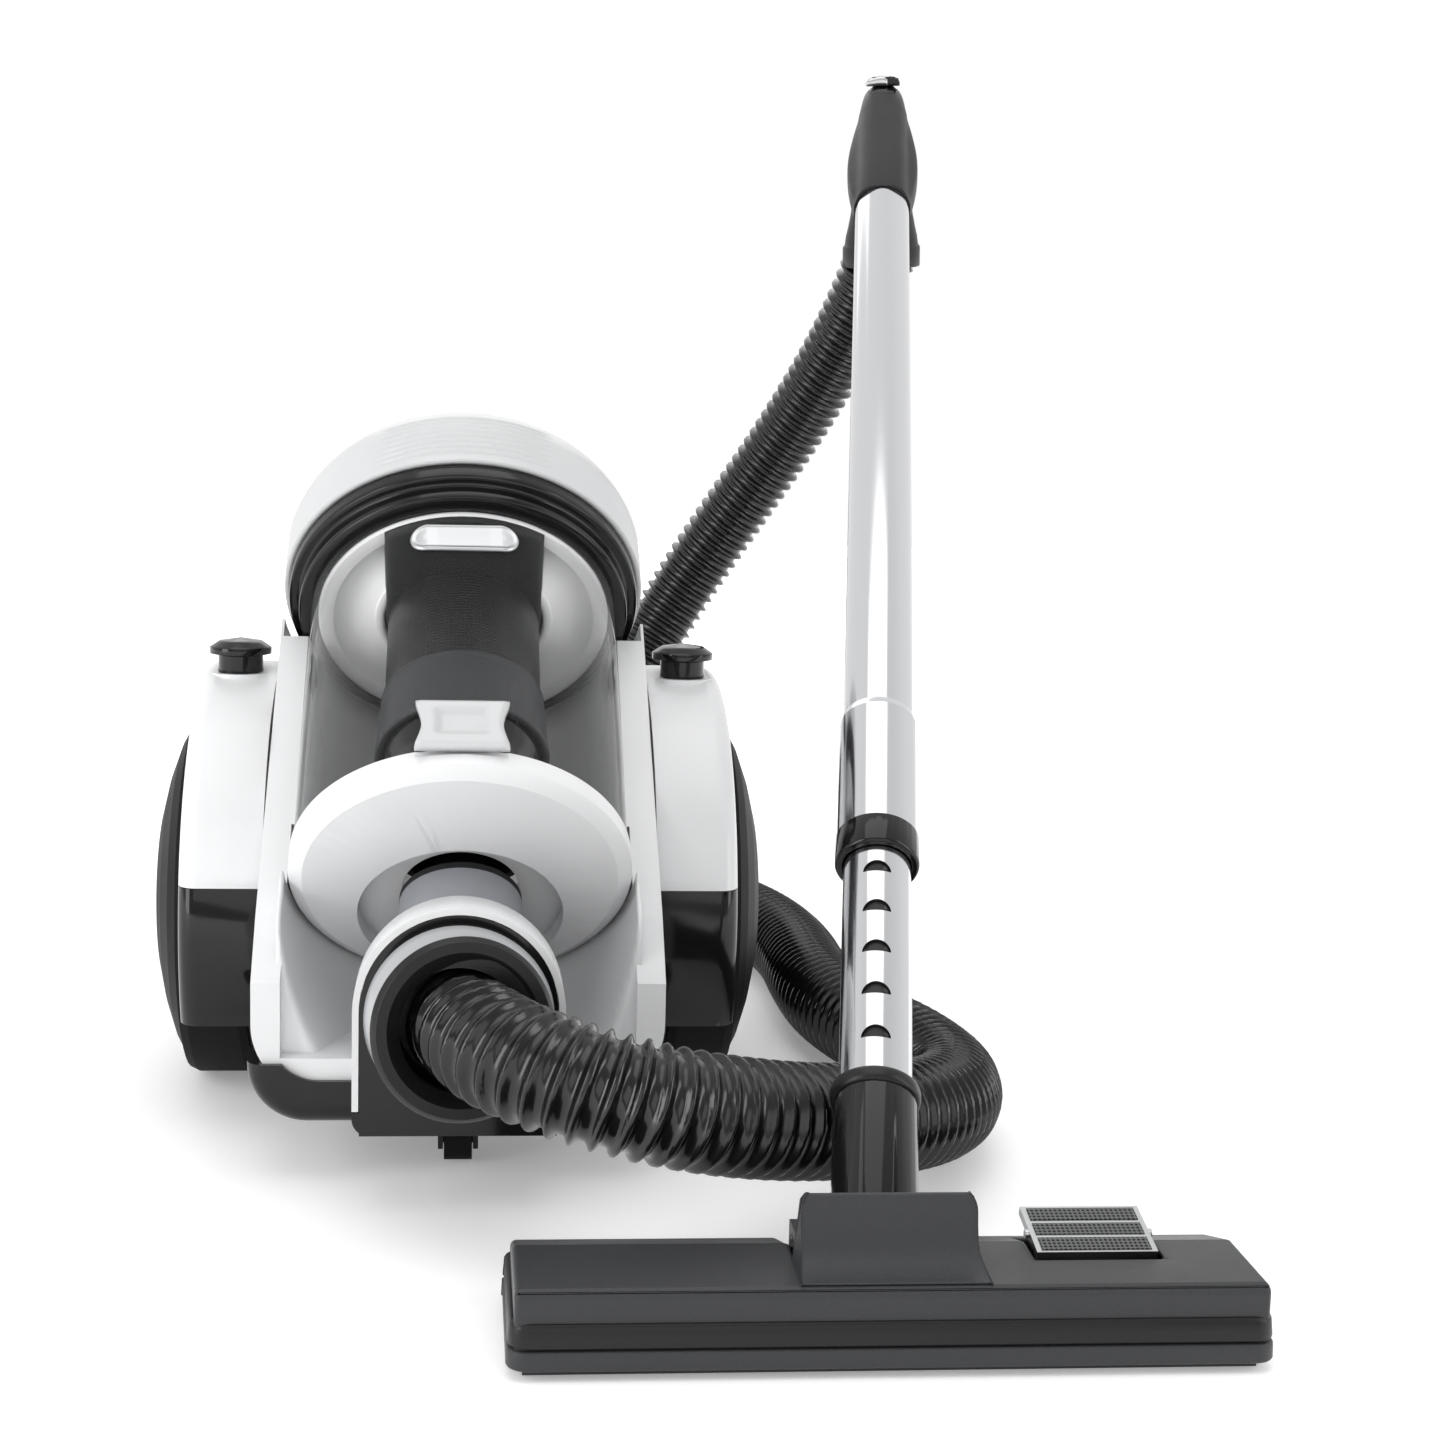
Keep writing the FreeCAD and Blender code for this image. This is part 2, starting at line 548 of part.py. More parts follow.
def container():
    """Clear bin with its ring, white base, latch, cyclone and the white cowl on top."""
    wall = tube("bin", CONTAINER, place(0, 0, eval_formula("-bin_length + 12")),
                "bin_radius", "bin_radius - bin_wall", "bin_length - 28")
    ears = [block(f"ear_{i}", CONTAINER, [x, "-cap_radius - 5", "-bin_length + 13"],
                  [f"{x} + 2.4", "-bin_radius + 5", "-bin_length + 43"])
            for i, x in enumerate(("-22", "19.6"))]
    keep("container_bin", cut("bin_eared", fuse("bin_ears", wall, *ears),
                              latch_pin("ear_bore", "1 + running_gap")))
    keep("container_ring", turned("ring", CONTAINER, [
        ("66", "-16"), ("ring_radius - 5", "-16"), ("ring_radius - 5", "-9"), ("ring_radius", "-8"),
        ("ring_radius", "0"), ("28", "0"), ("28", "-4"), ("66", "-4")]))
    base = turned("base_disc", CONTAINER, [
        ("0", "-bin_length"), ("cap_radius - 6", "-bin_length"), ("cap_radius", "-bin_length + 4"),
        ("cap_radius", "-bin_length + 12"), ("bin_radius - bin_wall", "-bin_length + 12"),
        ("bin_radius - bin_wall", "-bin_length + 15"), ("0", "-bin_length + 15")])
    scoop = rod("base_scoop", CONTAINER, place(0, 22, eval_formula("-bin_length - 1")), "44", "9")
    duct = rod("base_duct", CONTAINER, place(0, size.duct_offset, eval_formula("-bin_length - 1")),
               "duct_radius - 1", "20")
    seat = rod("base_seat", CONTAINER, place(0, size.duct_offset, eval_formula("-bin_length - 1")),
               "duct_radius + 0.4", "3.2")
    keep("container_base", cut("base", base, scoop, duct, seat, latch_space("latch_room")))
    keep("cyclone", turned("cone", CONTAINER, [
        ("30", "-4.2"), ("34", "-4.2"), ("34", "-98"), ("36", "-100"), ("33", "-116"),
        ("33", "-150"), ("30", "-150"), ("30", "-116")]))
    keep("mesh_screen", tube("mesh", CONTAINER, place(0, 0, -96), "35.2", "34.2", "76"))
    keep("filter_cartridge", tube("cartridge", CONTAINER, place(0, 0, -100), "25", "15", "94"))
    keep("badge", badge())
    cowl = turned("dome", CONTAINER, [
        ("0", "61"), ("30", "60"), ("52", "56"), ("68", "49"), ("78", "39"), ("cowl_radius - 1", "27"),
        ("cowl_radius", "16"), ("cowl_radius", "0.2"), ("cowl_radius - 3", "0.2"),
        ("cowl_radius - 3", "16"), ("cowl_radius - 4", "26"), ("75.5", "37"), ("66.5", "46"),
        ("51", "53"), ("29", "57"), ("0", "58")])
    keep("cowl", cowl)


def badge():
    """Plain oval badge on the front of the cyclone's upper part."""
    ring = tube("badge_band", CONTAINER, place(0, 0, -46), "bin_radius + 1", "bin_radius", "22")
    window = block("badge_window", CONTAINER, ["-17", "-80", "-43"], ["17", "-50", "-27"])
    ends = [rod(f"badge_end_{i}", CONTAINER, place(x, -80, -35, ALONG_Y), "8", "30")
            for i, x in enumerate((-17, 17))]
    return common("badge_plate", ring, fuse("badge_form", window, *ends))


def latch_space(name):
    """Room for the latch in the base's front edge."""
    return block(name, CONTAINER, ["-23", "-cap_radius - 2", "-bin_length + 9"],
                 ["23", "-cap_radius + 2.5", "-bin_length + 16"])


def latch():
    """White latch at the front of the base, hinged on the bin's two clear ears."""
    plate = block("latch_plate", CONTAINER, ["-19.2", "-cap_radius - 3.5", "-bin_length + 10"],
                  ["19.2", "-cap_radius + 1", "-bin_length + 35"])
    pull = block("latch_pull", CONTAINER, ["-14", "-cap_radius - 5", "-bin_length + 14"],
                 ["14", "-cap_radius - 1", "-bin_length + 29"])
    keep("base_latch", cut("latch", fuse("latch_pinned", plate, latch_pin("latch_pin", "1")), pull))


def latch_pin(name, radius):
    """The latch's pivot, which turns in the bin's two ears."""
    return rod(name, CONTAINER, place(-21.9, eval_formula("-cap_radius - 0.5"),
                                      eval_formula("-bin_length + 33"), ALONG_X), radius, "43.8")


# ---------------------------------------------------------------- hose

# The hose's route, from the canister's snout to the handle, chosen by hand.
HOSE_ROUTE = [
    (0, -214, 82), (7, -241, 81), (27, -265, 77), (58, -276, 70), (92, -270, 61),
    (126, -249, 51), (158, -224, 43), (189, -192, 35), (212, -154, 28), (222, -112, 24.5),
    (217, -68, 24), (202, -26, 24.2), (190, 22, 24), (188, 76, 24.2), (190, 132, 24),
    (184, 188, 24.3), (168, 242, 24), (144, 294, 25), (120, 346, 34), (106, 394, 62),
    (106, 428, 106), (122, 446, 156), (150, 448, 206), (182, 434, 258), (214, 412, 310),
    (240, 386, 360), (257, 362, 402), (260, 352, 430),
]


def hose_points():
    """The route in the row's frame, ending at the handle's cuff."""
    base = CANISTER.Base
    return [Vector(x + base.x, y + base.y, z) for x, y, z in HOSE_ROUTE[:-1]] + [cuff_low()]


def handle_point(turn, radius):
    """A point of the handle's bend, turned by an angle from the wand's line."""
    a = math.radians(turn)
    return WAND.multVec(Vector(0, radius * (1 - math.cos(a)), size.handle_bend + radius * math.sin(a)))


def handle_direction():
    a = math.radians(size.handle_turn)
    return WAND.Rotation.multVec(Vector(0, math.sin(a), math.cos(a)))


def cuff_low():
    """Where the hose enters the handle's cuff."""
    return handle_point(size.handle_turn, size.handle_arc) + handle_direction() * 48


def rounded_route(points, share=0.45):
    """Straight runs joined by arcs as large as the runs allow, and the arcs' radii."""
    edges, radii, here = [], [], points[0]
    for before, corner, after in zip(points, points[1:], points[2:]):
        back, ahead = before - corner, after - corner
        half = back.getAngle(ahead) / 2
        reach = share * min(back.Length, ahead.Length)
        radii.append(reach * math.tan(half))
        back.normalize()
        ahead.normalize()
        start, end = corner + back * reach, corner + ahead * reach
        bisector = (back + ahead).normalize()
        centre = corner + bisector * (reach / math.cos(half))
        middle = centre - bisector * radii[-1]
        edges.append(Part.LineSegment(here, start).toShape())
        edges.append(Part.Arc(start, middle, end).toShape())
        here = end
    edges.append(Part.LineSegment(here, points[-1]).toShape())
    return Part.Wire(edges), radii


def swept(path, radius):
    """A round solid along a wire."""
    start = path.Edges[0]
    direction = start.tangentAt(start.FirstParameter)
    circle = Part.Circle(start.valueAt(start.FirstParameter), direction, radius).toShape()
    return path.makePipeShell([Part.Wire([circle])], True, True)


def hose():
    """The hose between its two cuffs, with the collar that plugs into the snout."""
    path, radii = rounded_route(hose_points())
    bore = size.hose_radius - size.hose_wall
    solid = swept(path, size.hose_radius).cut(swept(path, bore))
    area = math.pi * (size.hose_radius ** 2 - bore ** 2)
    print(f"hose length {path.Length:.0f} mm, radii", [round(r) for r in radii])
    print(f"hose volume {solid.Volume / (area * path.Length):.4f} of section times length")
    keep_shape("hose", solid)
    front = CANISTER * place(0, size.snout_front, size.snout_z, Rotation(Vector(1, 0, 0), 90))
    keep("hose_collar", turned("collar", front, [
        ("30.6", "0.3"), ("37.5", "0.3"), ("37.5", "2"), ("33.5", "11"), ("30.6", "11")]))
    tilted = front * place(0, 0, 11.5, Rotation(Vector(-0.55, 0.83, 0), 12))
    lip = turned("cuff_lip", tilted, [
        ("hose_radius + 1.5", "3"), ("34.5", "3"), ("36", "9"), ("34", "12"), ("30", "12"),
        ("hose_radius + 1.5", "7")])
    sleeve = turned("cuff_sleeve", front, [
        ("hose_radius - 4", "-10"), ("30.2", "-10"), ("30.2", "17"), ("hose_radius + 1.5", "17"),
        ("hose_radius + 1.5", "0"), ("hose_radius - 4", "0")])
    keep("hose_cuff", fuse("cuff", lip, sleeve))


# ---------------------------------------------------------------- wand and handle


def wand():
    """Telescopic wand: inner tube, outer tube with guide bush, release sleeve and its ring."""
    foot = rod("inner_out", WAND, place(0, 0, -26), "inner_radius", "434")
    bore = rod("inner_in", WAND, place(0, 0, -27), "inner_bore", "436")
    notches = [half_moon(i, 8 + 20.4 * i) for i in range(5)]
    keep("inner_tube", cut("inner", foot, bore, *notches))
    keep("outer_tube", tube("outer", WAND, place(0, 0, size.sleeve_low + 4), "outer_radius",
                            "outer_bore", "650 - sleeve_low - 4"))
    keep("guide_bush", tube("bush", WAND, place(0, 0, size.sleeve_low + 4), "outer_bore",
                            "inner_radius + running_gap", "40"))
    keep("release_sleeve", turned("sleeve", WAND, [
        ("outer_radius + running_gap", "sleeve_mid"), ("16.8", "sleeve_mid"),
        ("16.8", "sleeve_top - 4"), ("16.2", "sleeve_top - 1.5"), ("outer_radius + 0.5", "sleeve_top"),
        ("outer_radius + running_gap", "sleeve_top")]))
    keep("sleeve_ring", turned("end_ring", WAND, [
        ("outer_radius + running_gap", "sleeve_low + 4"), ("inner_radius + 0.4", "sleeve_low + 3.9"),
        ("inner_radius + 0.4", "sleeve_low"), ("16.6", "sleeve_low"), ("17.3", "sleeve_low + 1"),
        ("17.3", "sleeve_mid"), ("outer_radius + running_gap", "sleeve_mid")]))


def half_moon(index, height):
    """A notch in the front of the inner tube, flat side down."""
    spot = place(0, -20, height, ALONG_Y)
    disc = rod(f"moon_{index}", WAND, spot, "5.6", "12")
    lower = block(f"moon_low_{index}", WAND, ["-10", "-22", f"{height - 10}"],
                  ["10", "0", f"{height}"])
    return cut(f"moon_cut_{index}", disc, lower)


def handle():
    """Handle bent over the wand's top, its lower cuff and the suction regulator."""
    start = WAND.multVec(Vector(0, 0, size.handle_start))
    bend = WAND.multVec(Vector(0, 0, size.handle_bend))
    middle = handle_point(size.handle_turn / 2, size.handle_arc)
    end = handle_point(size.handle_turn, size.handle_arc)
    low = end + handle_direction() * 20
    path = Part.Wire([Part.LineSegment(start, bend).toShape(), Part.Arc(bend, middle, end).toShape(),
                      Part.LineSegment(end, low).toShape()])
    solid = swept(path, size.handle_radius)
    bore = Part.makeCylinder(size.outer_radius, 60, start - WAND_UP.normalize() * 1, WAND_UP)
    slot = Part.makeBox(14, 22, 26)
    slot.Placement = regulator_place() * place(-7, -9, -13)
    keep_shape("handle_grip", solid.cut(bore).cut(slot))
    knob = Part.makeBox(13.8, 5, 14)
    knob.Placement = regulator_place() * place(-6.9, -6, -12.9)
    keep_shape("suction_regulator", knob)
    cuff = Part.makeCylinder(26, 34, cuff_low(), handle_direction() * -1)
    neck = Part.makeCone(26, 19, 8, low + handle_direction() * -6, handle_direction() * -1)
    keep_shape("handle_cuff", cuff.fuse(neck).cut(solid).removeSplitter())


def regulator_place():
    """The top of the handle's bend: +Z along the handle, -Y outwards."""
    turn = 30
    spot = handle_point(turn, size.handle_arc)
    tilt = Rotation(Vector(1, 0, 0), -turn)
    frame = Placement(spot, WAND.Rotation * tilt)
    return frame * place(0, -size.handle_radius + 2, 0)


# ---------------------------------------------------------------- floor nozzle


def nozzle():
    """Combination floor nozzle: cover, bumper, sole, hood, neck, pedal, brushes, rollers."""
    outer = side_profile("cover_out", NOZZLE, cover_outline("0"), "nozzle_half")
    inner = side_profile("cover_in", NOZZLE, cover_outline("2.5"), "nozzle_half - 2.5")
    notch = block("neck_notch", NOZZLE, ["-31.4", "-17.3", "-19"], ["31.4", "40", "20"])
    window = block("pedal_window", NOZZLE, ["52.5", "-15", "-8"], ["98.5", "14.5", "10"])
    keep("nozzle_cover", cut("cover", outer, inner, notch, window))
    keep("bumper", cut("band", block("band_out", NOZZLE, ["-bumper_half", "nozzle_front - 3", "-16"],
                                     ["bumper_half", "nozzle_back - 0.5", "-9"]),
                       block("band_in", NOZZLE, ["-nozzle_half - 0.1", "nozzle_front - 0.1", "-17"],
                             ["nozzle_half + 0.1", "nozzle_back + 5", "-8"])))
    plate = block("sole_block", NOZZLE, ["-nozzle_half + 3", "nozzle_front + 3", "-pivot_z"],
                  ["nozzle_half - 3", "nozzle_back - 3", "-pivot_z + 7.5"])
    mouth = block("sole_mouth", NOZZLE, ["-90", "-16", "-pivot_z - 1"], ["90", "2", "0"])
    slots = [block(f"sole_slot_{i}", NOZZLE, ["-112", f"{y}", "-pivot_z - 1"],
                   ["112", f"{y} + 4.4", "0"]) for i, y in enumerate((-30, 8))]
    wells = [block(f"sole_well_{i}", NOZZLE, [f"{x} - 6", "12.9", "-pivot_z - 1"],
                   [f"{x} + 6", "22.8", "0"]) for i, x in enumerate((-100, 100))]
    keep("sole_plate", cut("sole", plate, mouth, *slots, *wells))
    strips = [block(f"strip_{i}", NOZZLE, ["-111", f"{y} + 0.7", "-pivot_z + 2"],
                    ["111", f"{y} + 3.7", "-pivot_z + 15"]) for i, y in enumerate((-30, 8))]
    link = [block(f"strip_link_{i}", NOZZLE, [f"{x}", "-27", "-pivot_z + 12.5"],
                  [f"{x} + 6", "10", "-pivot_z + 15"]) for i, x in enumerate((-60, 54))]
    keep("brush_strips", fuse("strips", *strips, *link))
    hood()
    neck()
    pedal = block("pedal_plate", NOZZLE * place(75.5, 0, 3, Rotation(Vector(1, 0, 0), 16)),
                  ["-21.5", "-12", "0"], ["21.5", "14", "3.2"])
    pin = rod("pedal_pin", NOZZLE, place(52.7, 0, 4.6, ALONG_X), "1.6", "45.6")
    keep("foot_pedal", fuse("pedal", pedal, pin))
    for node, x in (("nozzle_roller_left", -100), ("nozzle_roller_right", 100)):
        keep(node, rod(node + "_rod", NOZZLE, place(x - 5, 17.8, 4.5 - size.pivot_z, ALONG_X),
                       "4.5", "10"))


def cover_outline(inset):
    """Side outline of the nozzle's cover, moved in by a wall thickness."""
    floor = "-pivot_z + 8" if inset == "0" else "-pivot_z + 7"
    return [(f"nozzle_front + {inset}", floor),
            (f"nozzle_front + {inset}", f"nozzle_top - pivot_z - 2 - {inset}"),
            (f"nozzle_front + 3 + {inset}", f"nozzle_top - pivot_z - {inset}"),
            ("0", f"nozzle_top - pivot_z + 1 - {inset}"),
            (f"nozzle_back - 3 - {inset}", f"nozzle_top_back - pivot_z - {inset}"),
            (f"nozzle_back - {inset}", f"nozzle_top_back - pivot_z - 3 - {inset}"),
            (f"nozzle_back - {inset}", floor)]


def hood():
    """Saddle in front of the neck, with two cheeks that hold its pivot."""
    ramp = side_profile("hood_ramp", NOZZLE, [
        ("-34", "1.15"), ("-27", "3.6"), ("-21", "9"), ("-18", "18"), ("-15.4", "18"),
        ("-15.4", "1.65")], "30")
    cheeks = [side_profile_block(i, x) for i, x in enumerate((-30, 26.6))]
    bores = rod("hood_bores", NOZZLE, place(-40, 0, 0, ALONG_X), "4 + running_gap", "80")
    keep("hood", cut("hood_done", fuse("hood_all", ramp, *cheeks), bores))


def side_profile_block(index, x):
    """One cheek of the hood."""
    return block(f"cheek_{index}", NOZZLE, [f"{x}", "-17", "-12"], [f"{x} + 3.4", "8", "8"])


def neck():
    """Swivel neck: barrel on the pivot and a socket for the inner tube."""
    barrel = rod("neck_barrel", NOZZLE, place(-25.6, 0, 0, ALONG_X), "barrel_radius - 0.4", "51.2")
    pins = rod("neck_pins", NOZZLE, place(-30, 0, 0, ALONG_X), "4", "60")
    low = WAND * place(0, 0, -70)
    stem = rod("neck_stem", low, place(), "neck_radius", "62")
    bore = rod("neck_bore", low, place(0, 0, 44), "inner_radius", "30")
    way = rod("neck_way", low, place(0, 0, 20), "11", "40")
    keep("nozzle_neck", cut("neck_done", fuse("neck_all", barrel, pins, stem), bore, way))


# ---------------------------------------------------------------- build and write


def main():
    wheels()
    caster()
    chassis()
    fenders()
    shell()
    snout()
    inside()
    exhaust()
    buttons()
    screws()
    container()
    latch()
    hose()
    wand()
    handle()
    nozzle()
    doc.recompute()

    for made in doc.Objects:
        if {"Invalid", "Error"} & set(made.State):
            raise RuntimeError(f"{made.Name}: {made.State}")
    os.makedirs("parts", exist_ok=True)
    for made in PARTS:
        shape = made.Shape
        if shape.isNull() or not shape.isValid():
            raise RuntimeError(f"{made.Label}: no valid shape")
        if not shape.Solids:
            raise RuntimeError(f"{made.Label}: no solid")
        shape.exportStep(f"parts/{made.Label}.step")
        print(made.Label, len(shape.Solids), round(shape.Volume / 1000, 1), "cm3")


main()
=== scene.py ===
import json
import math

import bpy
from mathutils import Matrix, Vector


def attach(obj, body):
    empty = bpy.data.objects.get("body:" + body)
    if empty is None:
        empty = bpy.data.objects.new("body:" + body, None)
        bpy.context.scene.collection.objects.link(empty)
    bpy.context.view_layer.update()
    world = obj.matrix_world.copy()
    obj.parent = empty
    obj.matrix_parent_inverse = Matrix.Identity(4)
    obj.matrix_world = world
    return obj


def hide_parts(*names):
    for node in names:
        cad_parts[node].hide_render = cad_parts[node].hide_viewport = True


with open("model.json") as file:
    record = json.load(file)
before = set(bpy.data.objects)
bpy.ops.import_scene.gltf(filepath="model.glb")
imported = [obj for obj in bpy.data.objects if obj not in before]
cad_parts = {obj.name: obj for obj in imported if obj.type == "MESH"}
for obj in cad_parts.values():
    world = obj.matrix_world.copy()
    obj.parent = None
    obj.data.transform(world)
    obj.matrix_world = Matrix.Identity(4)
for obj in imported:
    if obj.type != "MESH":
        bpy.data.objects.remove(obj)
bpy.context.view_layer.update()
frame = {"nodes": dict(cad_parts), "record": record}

# Where the tilted container and the foot pedal sit, in metres and degrees about X
CONTAINER_AT, CONTAINER_TILT = (-0.070, -0.0286, 0.235), -49.5
PEDAL_AT, PEDAL_TILT = (0.1525, -0.3315, 0.032), 16


def new_object(name, points, faces, smooth=True):
    """A linked mesh object from points in metres."""
    mesh = bpy.data.meshes.new(name)
    mesh.from_pydata([tuple(p) for p in points], [], faces)
    mesh.validate()
    mesh.update()
    if smooth:
        mesh.shade_smooth()
    obj = bpy.data.objects.new(name, mesh)
    bpy.context.scene.collection.objects.link(obj)
    return obj


# ---------------------------------------------------------------- materials


def material(name, color, rough, metal=0.0, coat=0.0, specular=0.5):
    """A Principled material, with its constants on the shader's own sockets."""
    mat = bpy.data.materials.new(name)
    mat.use_nodes = True
    shader = mat.node_tree.nodes["Principled BSDF"]
    shader.inputs["Base Color"].default_value = (*color, 1)
    shader.inputs["Roughness"].default_value = rough
    shader.inputs["Metallic"].default_value = metal
    shader.inputs["Coat Weight"].default_value = coat
    shader.inputs["Coat Roughness"].default_value = 0.08
    shader.inputs["Specular IOR Level"].default_value = specular
    return mat


def nodes_of(mat):
    """A material's nodes, links and Principled shader."""
    return mat.node_tree.nodes, mat.node_tree.links, mat.node_tree.nodes["Principled BSDF"]


def add_noise(mat, scale, detail):
    """A noise node in object coordinates."""
    nodes, links = nodes_of(mat)[:2]
    coords = nodes.new("ShaderNodeTexCoord")
    mapping = nodes.new("ShaderNodeMapping")
    noise = nodes.new("ShaderNodeTexNoise")
    noise.inputs["Scale"].default_value = scale
    noise.inputs["Detail"].default_value = detail
    links.new(coords.outputs["Object"], mapping.inputs["Vector"])
    links.new(mapping.outputs["Vector"], noise.inputs["Vector"])
    return noise


def add_bump(mat, noise, strength, distance=0.0004):
    """Bump from a noise node, its distance in metres."""
    nodes, links, shader = nodes_of(mat)
    bump = nodes.new("ShaderNodeBump")
    bump.inputs["Strength"].default_value = strength
    bump.inputs["Distance"].default_value = distance
    links.new(noise.outputs[0], bump.inputs["Height"])
    links.new(bump.outputs["Normal"], shader.inputs["Normal"])


def vary_roughness(mat, noise, low, high):
    """Roughness that follows a noise node between two values."""
    nodes, links, shader = nodes_of(mat)
    spread = nodes.new("ShaderNodeMapRange")
    spread.inputs["From Min"].default_value = 0.35
    spread.inputs["From Max"].default_value = 0.65
    spread.inputs["To Min"].default_value = low
    spread.inputs["To Max"].default_value = high
    links.new(noise.outputs[0], spread.inputs["Value"])
    links.new(spread.outputs["Result"], shader.inputs["Roughness"])


def moulded(name, color, rough, coat=0.0, grain=0.0, grain_scale=900, spread=0.05,
            specular=0.5):
    """Moulded plastic: a little unevenness in gloss, and a fine grain where it has one."""
    mat = material(name, color, rough, coat=coat, specular=specular)
    wide = add_noise(mat, 14, detail=3)
    vary_roughness(mat, wide, max(rough - spread, 0.03), rough + spread)
    if grain:
        add_bump(mat, add_noise(mat, grain_scale, detail=2), grain)
    else:
        add_bump(mat, add_noise(mat, 45, detail=1), 0.02)
    return mat


MAT = {
    "white_gloss": moulded("white_gloss", (0.70, 0.704, 0.71), 0.3, spread=0.02),
    "black_gloss": moulded("black_gloss", (0.006, 0.006, 0.0065), 0.12, specular=0.35),
    "black_satin": moulded("black_satin", (0.009, 0.009, 0.0095), 0.36, grain=0.25, specular=0.3),
    "dark_grey_plastic": moulded("dark_grey_plastic", (0.014, 0.0145, 0.0155), 0.44, grain=0.3,
                                 grain_scale=1500, specular=0.25),
    "mid_grey_plastic": moulded("mid_grey_plastic", (0.034, 0.035, 0.037), 0.40, grain=0.5,
                                grain_scale=1800, specular=0.3),
    "tyre_rubber": moulded("tyre_rubber", (0.007, 0.007, 0.007), 0.7, grain=0.3, specular=0.12),
    "seal_rubber": moulded("seal_rubber", (0.02, 0.02, 0.022), 0.6, grain=0.3, specular=0.2),
    "duct_grey": moulded("duct_grey", (0.26, 0.27, 0.29), 0.35),
    "collar_grey": moulded("collar_grey", (0.36, 0.37, 0.38), 0.24, coat=0.2),
    "hose_plastic": moulded("hose_plastic", (0.005, 0.005, 0.0055), 0.18, specular=0.5),
    "chrome_tube": material("chrome_tube", (0.62, 0.625, 0.64), 0.13, metal=1.0),
    "pedal_metal": material("pedal_metal", (0.52, 0.525, 0.53), 0.3, metal=1.0),
    "badge_silver": material("badge_silver", (0.50, 0.505, 0.51), 0.3, metal=1.0),
    "mesh_metal": material("mesh_metal", (0.02, 0.02, 0.021), 0.35, specular=0.35),
    "filter_white": moulded("filter_white", (0.72, 0.72, 0.70), 0.8, grain=0.6),
    "filter_foam": moulded("filter_foam", (0.12, 0.125, 0.13), 0.9, grain=0.8),
    "brush_hair": moulded("brush_hair", (0.03, 0.03, 0.03), 0.6, grain=0.8),
    "motor_iron": material("motor_iron", (0.35, 0.35, 0.36), 0.45, metal=1.0),
    "steel_plain": material("steel_plain", (0.58, 0.59, 0.60), 0.3, metal=1.0),
}


def maths(mat, operation, first, second=None):
    """One Math node; first and second are sockets or numbers."""
    nodes, links = nodes_of(mat)[:2]
    node = nodes.new("ShaderNodeMath")
    node.operation = operation
    for socket, value in zip(node.inputs, (first, second)):
        if isinstance(value, (int, float)):
            socket.default_value = value
        elif value is not None:
            links.new(value, socket)
    return node.outputs[0]


def dotted(mat, turn, pitch, hole, dark, light, radius=0.0, offset=(0, 0, 0)):
    """Round holes in a grid, on a plate or, with a radius, round a cylinder.

    hole is a hole's radius as a share of the pitch.
    """
    softness = 0.05
    nodes, links, shader = nodes_of(mat)
    coords = nodes.new("ShaderNodeTexCoord")
    mapping = nodes.new("ShaderNodeMapping")
    mapping.vector_type = "TEXTURE"
    mapping.inputs["Rotation"].default_value = (math.radians(turn), 0, 0)
    mapping.inputs["Location"].default_value = offset
    parts = nodes.new("ShaderNodeSeparateXYZ")
    links.new(coords.outputs["Object"], mapping.inputs["Vector"])
    links.new(mapping.outputs["Vector"], parts.inputs["Vector"])
    if radius:
        turned = maths(mat, "ARCTAN2", parts.outputs["X"], parts.outputs["Y"])
        across = maths(mat, "MULTIPLY", turned, radius / pitch)
        along = maths(mat, "DIVIDE", parts.outputs["Z"], pitch)
    else:
        across = maths(mat, "DIVIDE", parts.outputs["X"], pitch)
        along = maths(mat, "DIVIDE", parts.outputs["Y"], pitch)
    squares = []
    for value in (across, along):
        inside = maths(mat, "SUBTRACT", maths(mat, "FRACT", value), 0.5)
        squares.append(maths(mat, "MULTIPLY", inside, inside))
    distance = maths(mat, "SQRT", maths(mat, "ADD", *squares))
    spread = nodes.new("ShaderNodeMapRange")
    spread.inputs["From Min"].default_value = hole - softness
    spread.inputs["From Max"].default_value = hole + softness
    links.new(distance, spread.inputs["Value"])
    mix = nodes.new("ShaderNodeMix")
    mix.data_type = "RGBA"
    links.new(spread.outputs["Result"], mix.inputs["Factor"])
    mix.inputs["A"].default_value = (*dark, 1)
    mix.inputs["B"].default_value = (*light, 1)
    links.new(mix.outputs["Result"], shader.inputs["Base Color"])
    bump = nodes.new("ShaderNodeBump")
    bump.inputs["Strength"].default_value = 0.7
    bump.inputs["Distance"].default_value = 0.0004
    links.new(spread.outputs["Result"], bump.inputs["Height"])
    links.new(bump.outputs["Normal"], shader.inputs["Normal"])


def clear_plastic():
    """Clear container wall, which turns greyer towards its edges."""
    clearest, densest, falloff = 0.012, 0.7, 3.0
    mat = material("clear_smoke", (0.16, 0.163, 0.166), 0.03, specular=0.5)
    nodes, links, shader = nodes_of(mat)
    facing = nodes.new("ShaderNodeLayerWeight")
    facing.inputs["Blend"].default_value = 0.5
    spread = nodes.new("ShaderNodeMapRange")
    spread.inputs["To Min"].default_value = clearest
    spread.inputs["To Max"].default_value = densest
    links.new(maths(mat, "POWER", facing.outputs["Facing"], falloff), spread.inputs["Value"])
    links.new(spread.outputs["Result"], shader.inputs["Alpha"])
    return mat


